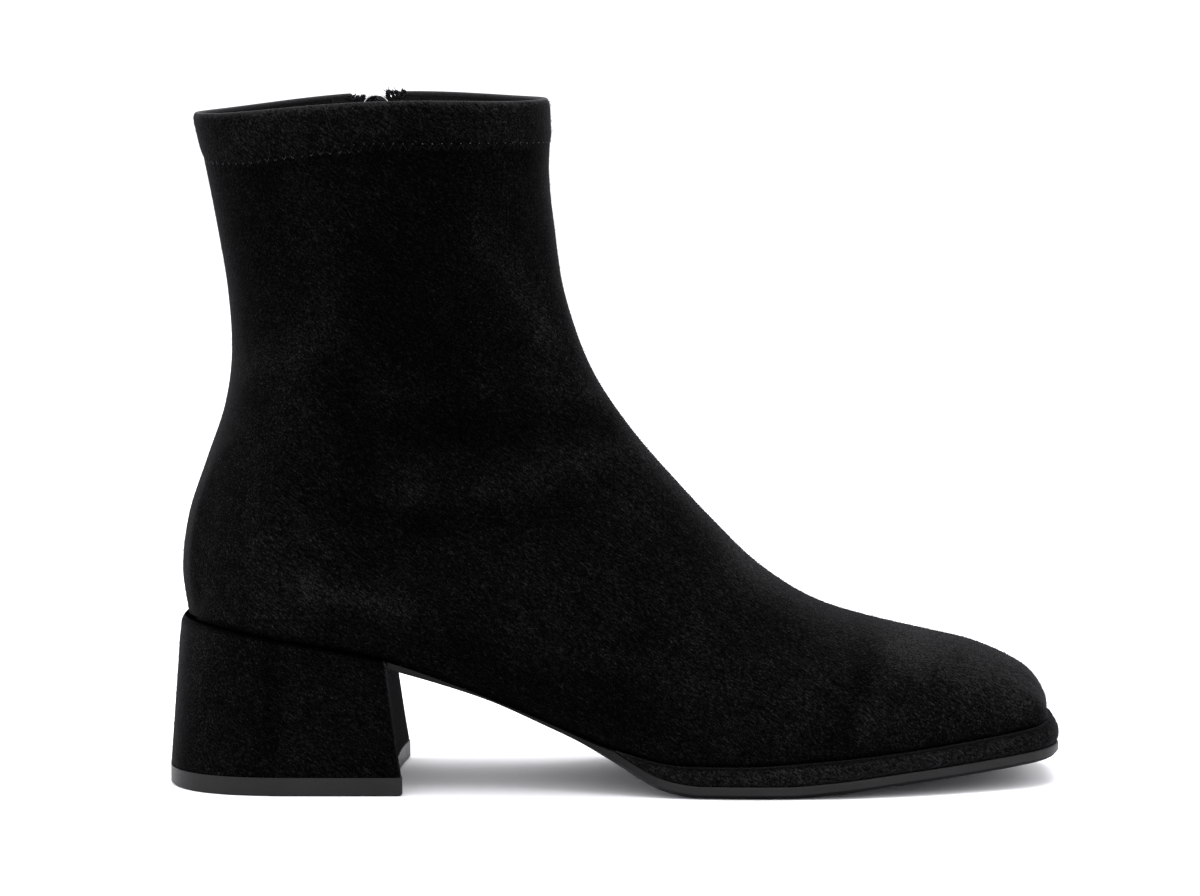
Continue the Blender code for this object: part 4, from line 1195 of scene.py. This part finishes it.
def sole_point(run, across, drawn_in):
    """A point of the sole in plan, from its outer edge (0) to its inner one (1)."""
    width = rim_width(section_at(run).base_x) - drawn_in
    return rim_point(run, -1, width).lerp(rim_point(run, 1, width), across)


def midsole_shape(along, across, rise):
    run = along * run_at_base(MIDSOLE_END_X)
    at = sole_point(run, across, midsole_draw(rise) * rim_width(section_at(run).base_x))
    low = outsole_top(at.x) + GAP
    return at.x, at.y, low + rise * (feather_height(at.x) - GAP - low)


# Lighter all over, and darker at its top edge, in the joint under the upper: pressed nap and painted shade.
def midsole_tone_and_shade(along, across, rise):
    return MIDSOLE_LAY + joint_press_and_shade((1 - rise) * MIDSOLE_FADE)


midsole_suede = new_suede("Midsole suede", bump=0.5)
bm = shaped_block(MIDSOLE_PARTS, midsole_shape, midsole_tone_and_shade)
press_and_shade_joints(bm, MIDSOLE_PRESSED_SHADE_SLOT)
midsole = new_piece("midsole_cover", bm, midsole_suede, pressed_shaded_suede)
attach(midsole, "boot")
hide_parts("covered_midsole")
midsole_nap = new_nap("midsole_nap", midsole, midsole_suede, seed=11)


# Outsole: one thin satin rubber sheet from the toe to the breast of the heel, trimmed flush and buffed at
# its edge. Its lower edge is cut off at a slant and left dull, with painted shade on it towards the toe, and
# at the waist, where the edge tucks under, it is darkened by painted shade.
SOLE_TOP_ROUND = 0.35
SOLE_END_X = -64.5
WAIST_X = 12.0
SLANT_LEAST = 0.35
SLANT_MOST = 0.95
SOLE_PARTS = (150, 24, 10)
WAIST_SLOT = 1
SLANT_SLOT = 2

# How deep the lower edge is cut off along the sole.
EDGE_CUT = {130.0: 1.05, 10.0: 1.05, -14.0: 0.35, -66.0: 0.35}
edge_cut = table_curve(EDGE_CUT)

# How much of its tone an edge keeps under painted shade, which fades from one place along the sole to
# another.
EdgeShade = namedtuple("EdgeShade", "back_x back_share front_x front_share")
NO_EDGE_SHADE = EdgeShade(-1.0, 1.0, 1.0, 1.0)
WAIST_SHADE = EdgeShade(-8.0, 0.12, 12.0, 1.0)
SLANT_SHADE = EdgeShade(12.0, 1.0, 24.0, 0.25)


def new_rubber(name, dark, light, roughness, gloss, edge_shade=NO_EDGE_SHADE):
    """A satin rubber with a fine moulded grain, buffed along, in a cloudy tone that painted shade may
    darken.
    """
    material, tree, shader = new_finish(name, {"Specular IOR Level": gloss})
    cloud = textured(tree, "Noise", {"Scale": 70.0, "Detail": 5.0})
    grain = textured(tree, "Noise", {"Scale": 2600.0, "Detail": 2.0})
    place = add_node(tree, "ShaderNodeTexCoord").outputs["Object"]
    drawn_out = add_node(tree, "ShaderNodeMapping", {"Scale": (0.12, 0.5, 1.0)})
    buffing = add_node(tree, "ShaderNodeTexNoise", {"Scale": 1500.0, "Detail": 3.0})
    tree.links.new(place, drawn_out.inputs["Vector"])
    tree.links.new(drawn_out.outputs["Vector"], buffing.inputs["Vector"])
    tone = weighted_sum(tree, [(cloud, 0.5), (buffing.outputs["Fac"], 0.35), (grain, 0.15)])
    split = add_node(tree, "ShaderNodeSeparateXYZ")
    shade_share = add_node(tree, "ShaderNodeMapRange", {
        "From Min": edge_shade.back_x * MM, "From Max": edge_shade.front_x * MM,
        "To Min": edge_shade.back_share, "To Max": edge_shade.front_share})
    shaded = add_node(tree, "ShaderNodeVectorMath", operation="SCALE")
    tree.links.new(place, split.inputs["Vector"])
    tree.links.new(split.outputs["X"], shade_share.inputs["Value"])
    tree.links.new(shade_stops(tree, tone, [(0.3, dark), (0.7, light)]), shaded.inputs[0])
    tree.links.new(shade_share.outputs["Result"], shaded.inputs["Scale"])
    tree.links.new(shaded.outputs["Vector"], shader.inputs["Base Color"])
    tree.links.new(shade_stops(tree, tone, [(0.3, roughness + 0.08), (0.7, roughness - 0.08)]),
                   shader.inputs["Roughness"])
    relief = weighted_sum(tree, [(grain, 0.6), (buffing.outputs["Fac"], 0.4)])
    add_bump(tree, shader, relief, strength=0.3, distance=0.15)
    return material


def edge_round(rise, height, radius):
    """How far a rounded lower edge draws in at a rise in a wall of this height."""
    left = max(0.0, radius - rise * height)
    return radius - math.sqrt(radius ** 2 - left ** 2)


def outsole_shape(along, across, rise):
    run = along * run_at_base(SOLE_END_X)
    cut = max(0.0, edge_cut(section_at(run).base_x) - rise * SOLE_THICK)
    drawn_in = cut + edge_round(1 - rise, SOLE_THICK, SOLE_TOP_ROUND)
    at = sole_point(run, across, drawn_in)
    sides = [(at - sole_point(run, side, drawn_in)).length for side in (0, 1)]
    inside = min(*sides, sole_point(0.0, across, drawn_in).x - at.x)
    low = tread_height(at.x) + bevel_rise(at.x) * max(0.0, 1 - inside / bevel_width(at.x))
    return at.x, at.y, low + rise * (outsole_top(at.x) - low)


# The waist's edge and the slanted lower edge towards the toe are copies darkened by painted shade.
sole_rubber = new_rubber("Sole rubber", dark=0.005, light=0.009, roughness=0.48, gloss=0.16)
shaded_waist = new_rubber("Waist rubber in painted shade", dark=0.005, light=0.009, roughness=0.5, gloss=0.12, edge_shade=WAIST_SHADE)
dull_shaded_slant = new_rubber("Dull cut edge in painted shade", dark=0.005, light=0.009, roughness=0.6, gloss=0.08, edge_shade=SLANT_SHADE)
bm = shaped_block(SOLE_PARTS, outsole_shape)
bm.normal_update()
for face in bm.faces:
    slanted = SLANT_LEAST < -face.normal.z < SLANT_MOST
    if face.calc_center_median().x > WAIST_X * MM:
        face.material_index = SLANT_SLOT if slanted else 0
    elif face.normal.z > -SLANT_LEAST:
        face.material_index = WAIST_SLOT
outsole = new_piece("outsole_sheet", bm, sole_rubber, shaded_waist, dull_shaded_slant)
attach(outsole, "boot")
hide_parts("outsole")


# Heel: a moulded plastic block, flared downwards, wrapped in suede that is turned in at its seat. It is
# nailed to the seat of the upper from inside.
TOP_PIECE_THICK = 5.3
HEEL_ARC_X = -88.0
BREAST_CORNER = 1.4
BREAST_HOLLOW = 2.4
ARC_SHARE = 0.55
CORNER_SHARE = 0.12
HEEL_HIGH = 38.0
BACK_X = -118.0
BACK_WIDE = 6.0
BACK_LAY = 0.5
SIDE_X = -97.5
SIDE_WIDE = 4.0
SIDE_LAY = -0.5
BREAST_TURN = 0.9
CORNER_TURN = 0.4
HEEL_PARTS = (60, 20, 26)
HEEL_PRESSED_SHADE_SLOT = 1
BREAST_SLOT = 2
CORNER_SLOT = 3

# Outlines of the heel from its lower face (0) to its seat (1). Square rises from 2, an ellipse, as the back
# gets squarer in plan.
HeelLevel = namedtuple("HeelLevel", "rise back_x breast_x half square")
HEEL_LEVELS = [
    HeelLevel(0.0, -127.8, -60.7, 31.3, 2.7),
    HeelLevel(0.35, -126.7, -62.4, 31.0, 2.55),
    HeelLevel(0.7, -125.6, -64.0, 30.7, 2.4),
    HeelLevel(0.9, -124.9, -64.9, 30.5, 2.3),
    HeelLevel(0.975, -124.3, -65.3, 30.3, 2.25),
    HeelLevel(1.0, -123.5, -66.1, 29.6, 2.2),
]
HEEL_RISES = [level.rise for level in HEEL_LEVELS]
HEEL_COLUMNS = [smooth_curve(HEEL_RISES, [getattr(level, field) for level in HEEL_LEVELS])
                for field in HeelLevel._fields]


def heel_outline(level, along):
    """The x and the half width of a heel in plan, from the middle of its back (0) to its breast (1)."""
    if along < ARC_SHARE:
        turn = math.pi / 2 * along / ARC_SHARE
        return (HEEL_ARC_X + (level.back_x - HEEL_ARC_X) * math.cos(turn) ** (2 / level.square),
                level.half * math.sin(turn) ** (2 / level.square))
    corner_x = level.breast_x - BREAST_CORNER
    if along < 1 - CORNER_SHARE:
        share = (along - ARC_SHARE) / (1 - CORNER_SHARE - ARC_SHARE)
        return HEEL_ARC_X + (corner_x - HEEL_ARC_X) * share, level.half
    turn = math.pi / 2 * (along - 1 + CORNER_SHARE) / CORNER_SHARE
    return (corner_x + BREAST_CORNER * math.sin(turn), level.half - BREAST_CORNER * (1 - math.cos(turn)))


def hollow(along, across, depth):
    """How far a heel with a hollow breast is drawn back, most in the middle of the breast."""
    return depth * max(0.0, (along - ARC_SHARE) / (1 - ARC_SHARE)) * (1 - (2 * across - 1) ** 2)


def heel_shape(along, across, rise):
    rise = 1 - (1 - rise) ** 2
    x, half = heel_outline(HeelLevel(*(column(rise) for column in HEEL_COLUMNS)), along)
    x -= hollow(along, across, BREAST_HOLLOW * (1 - rise))
    low = TOP_PIECE_THICK + GAP
    return x, AXIS_Y + (2 * across - 1) * half, low + rise * (feather_height(x) - GAP - low)


# Lighter at the back and darker in a band along each side; at the seat, pressed nap and painted shade.
def heel_tone_and_shade(along, across, rise):
    x = heel_shape(along, across, rise)[0]
    back = BACK_LAY * math.exp(-((x - BACK_X) / BACK_WIDE) ** 2)
    side = SIDE_LAY * math.exp(-((x - SIDE_X) / SIDE_WIDE) ** 2)
    return back + side + joint_press_and_shade((1 - rise) ** 2 * HEEL_HIGH)


heel_suede = new_suede("Heel suede", bump=0.5)
breast_suede = new_suede("Breast suede", bump=0.5, glow={**SUEDE_GLOW, "Sheen Weight": 0.04})
bm = shaped_block(HEEL_PARTS, heel_shape, heel_tone_and_shade)
press_and_shade_joints(bm, HEEL_PRESSED_SHADE_SLOT)
bm.normal_update()
# The breast takes the breast suede, and its corners the suede with stronger sheen: a painted highlight.
for face in bm.faces:
    if face.normal.x > BREAST_TURN:
        face.material_index = BREAST_SLOT
    elif face.normal.x > CORNER_TURN and face.normal.z < CORNER_TURN:
        face.material_index = CORNER_SLOT
heel = new_piece("heel_block", bm, heel_suede, pressed_shaded_suede, breast_suede, highlit_edge_suede)
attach(heel, "boot")
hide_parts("heel")
heel_nap = new_nap("heel_nap", heel, heel_suede, seed=19)


# Top piece: a satin rubber lift, moulded a little wider than the heel and pinned under it.
TOP_PIECE = HeelLevel(0.0, -127.9, -60.4, 31.5, 2.7)
TOP_PIECE_ROUND = 0.5
TOP_PIECE_PARTS = (60, 20, 10)


def top_piece_shape(along, across, rise):
    drawn_in = edge_round(rise, TOP_PIECE_THICK, TOP_PIECE_ROUND)
    level = TOP_PIECE._replace(back_x=TOP_PIECE.back_x + drawn_in, breast_x=TOP_PIECE.breast_x - drawn_in,
                               half=TOP_PIECE.half - drawn_in)
    x, half = heel_outline(level, along)
    x -= hollow(along, across, BREAST_HOLLOW)
    return x, AXIS_Y + (2 * across - 1) * half, rise * TOP_PIECE_THICK


lift_rubber = new_rubber("Lift rubber", dark=0.0045, light=0.008, roughness=0.48, gloss=0.2)
top_piece = new_piece("heel_lift", shaped_block(TOP_PIECE_PARTS, top_piece_shape), lift_rubber)
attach(top_piece, "boot")
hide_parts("top_piece")


# Studio: a seamless white floor under a broad overhead softbox, with a paler light from each end. Sizes
# and places are in metres here. The camera stands where the photograph was taken from.
FLOOR_HALF = 6.0
FLOOR_PARTS = 8
SURROUND = 1.4
AIM = Vector((0.0, 0.0, 0.06))
CAMERA_AT = (-0.0046, -1.4059, 0.2597)
CAMERA_TURN = 83.31
LENS_LONG = 147.9
LENS_WIDE = 36.0

paper, tree, shader = new_finish("Studio paper", {"Roughness": 0.9, "Specular IOR Level": 0.1})
pulp = textured(tree, "Noise", {"Scale": 300.0, "Detail": 3.0})
add_tone(tree, shader, pulp, [(0.2, 0.88), (0.8, 0.90)])
bm = bmesh.new()
bmesh.ops.create_grid(bm, x_segments=FLOOR_PARTS, y_segments=FLOOR_PARTS, size=FLOOR_HALF)
floor = new_piece("studio_floor", bm, paper)

world = bpy.data.worlds.new("Studio white")
world.use_nodes = True
surround = world.node_tree.nodes["Background"]
surround.inputs["Color"].default_value = (1.0, 1.0, 1.0, 1.0)
surround.inputs["Strength"].default_value = SURROUND
bpy.context.scene.world = world

Softbox = namedtuple("Softbox", "name x y z width depth power")
SOFTBOXES = [
    Softbox("overhead", 0.05, -0.05, 1.30, 1.2, 0.9, 18.0),
    Softbox("toe_end", 1.30, 0.10, 0.80, 0.7, 0.9, 4.7),
    Softbox("heel_end", -1.30, 0.10, 0.80, 0.7, 0.9, 4.7),
]
for box in SOFTBOXES:
    lamp = bpy.data.lights.new(box.name, "AREA")
    lamp.shape = "RECTANGLE"
    lamp.size, lamp.size_y = box.width, box.depth
    lamp.energy = box.power
    light = new_object(box.name, lamp)
    light.location = (box.x, box.y, box.z)
    light.rotation_euler = (AIM - light.location).to_track_quat("-Z", "Y").to_euler()

lens = bpy.data.cameras.new("camera")
lens.sensor_width = LENS_WIDE
lens.lens = LENS_LONG
camera = new_object("camera", lens)
camera.location = CAMERA_AT
camera.rotation_euler = (math.radians(CAMERA_TURN), 0.0, 0.0)
bpy.context.scene.camera = camera
bpy.context.scene.view_settings.view_transform = "Standard"
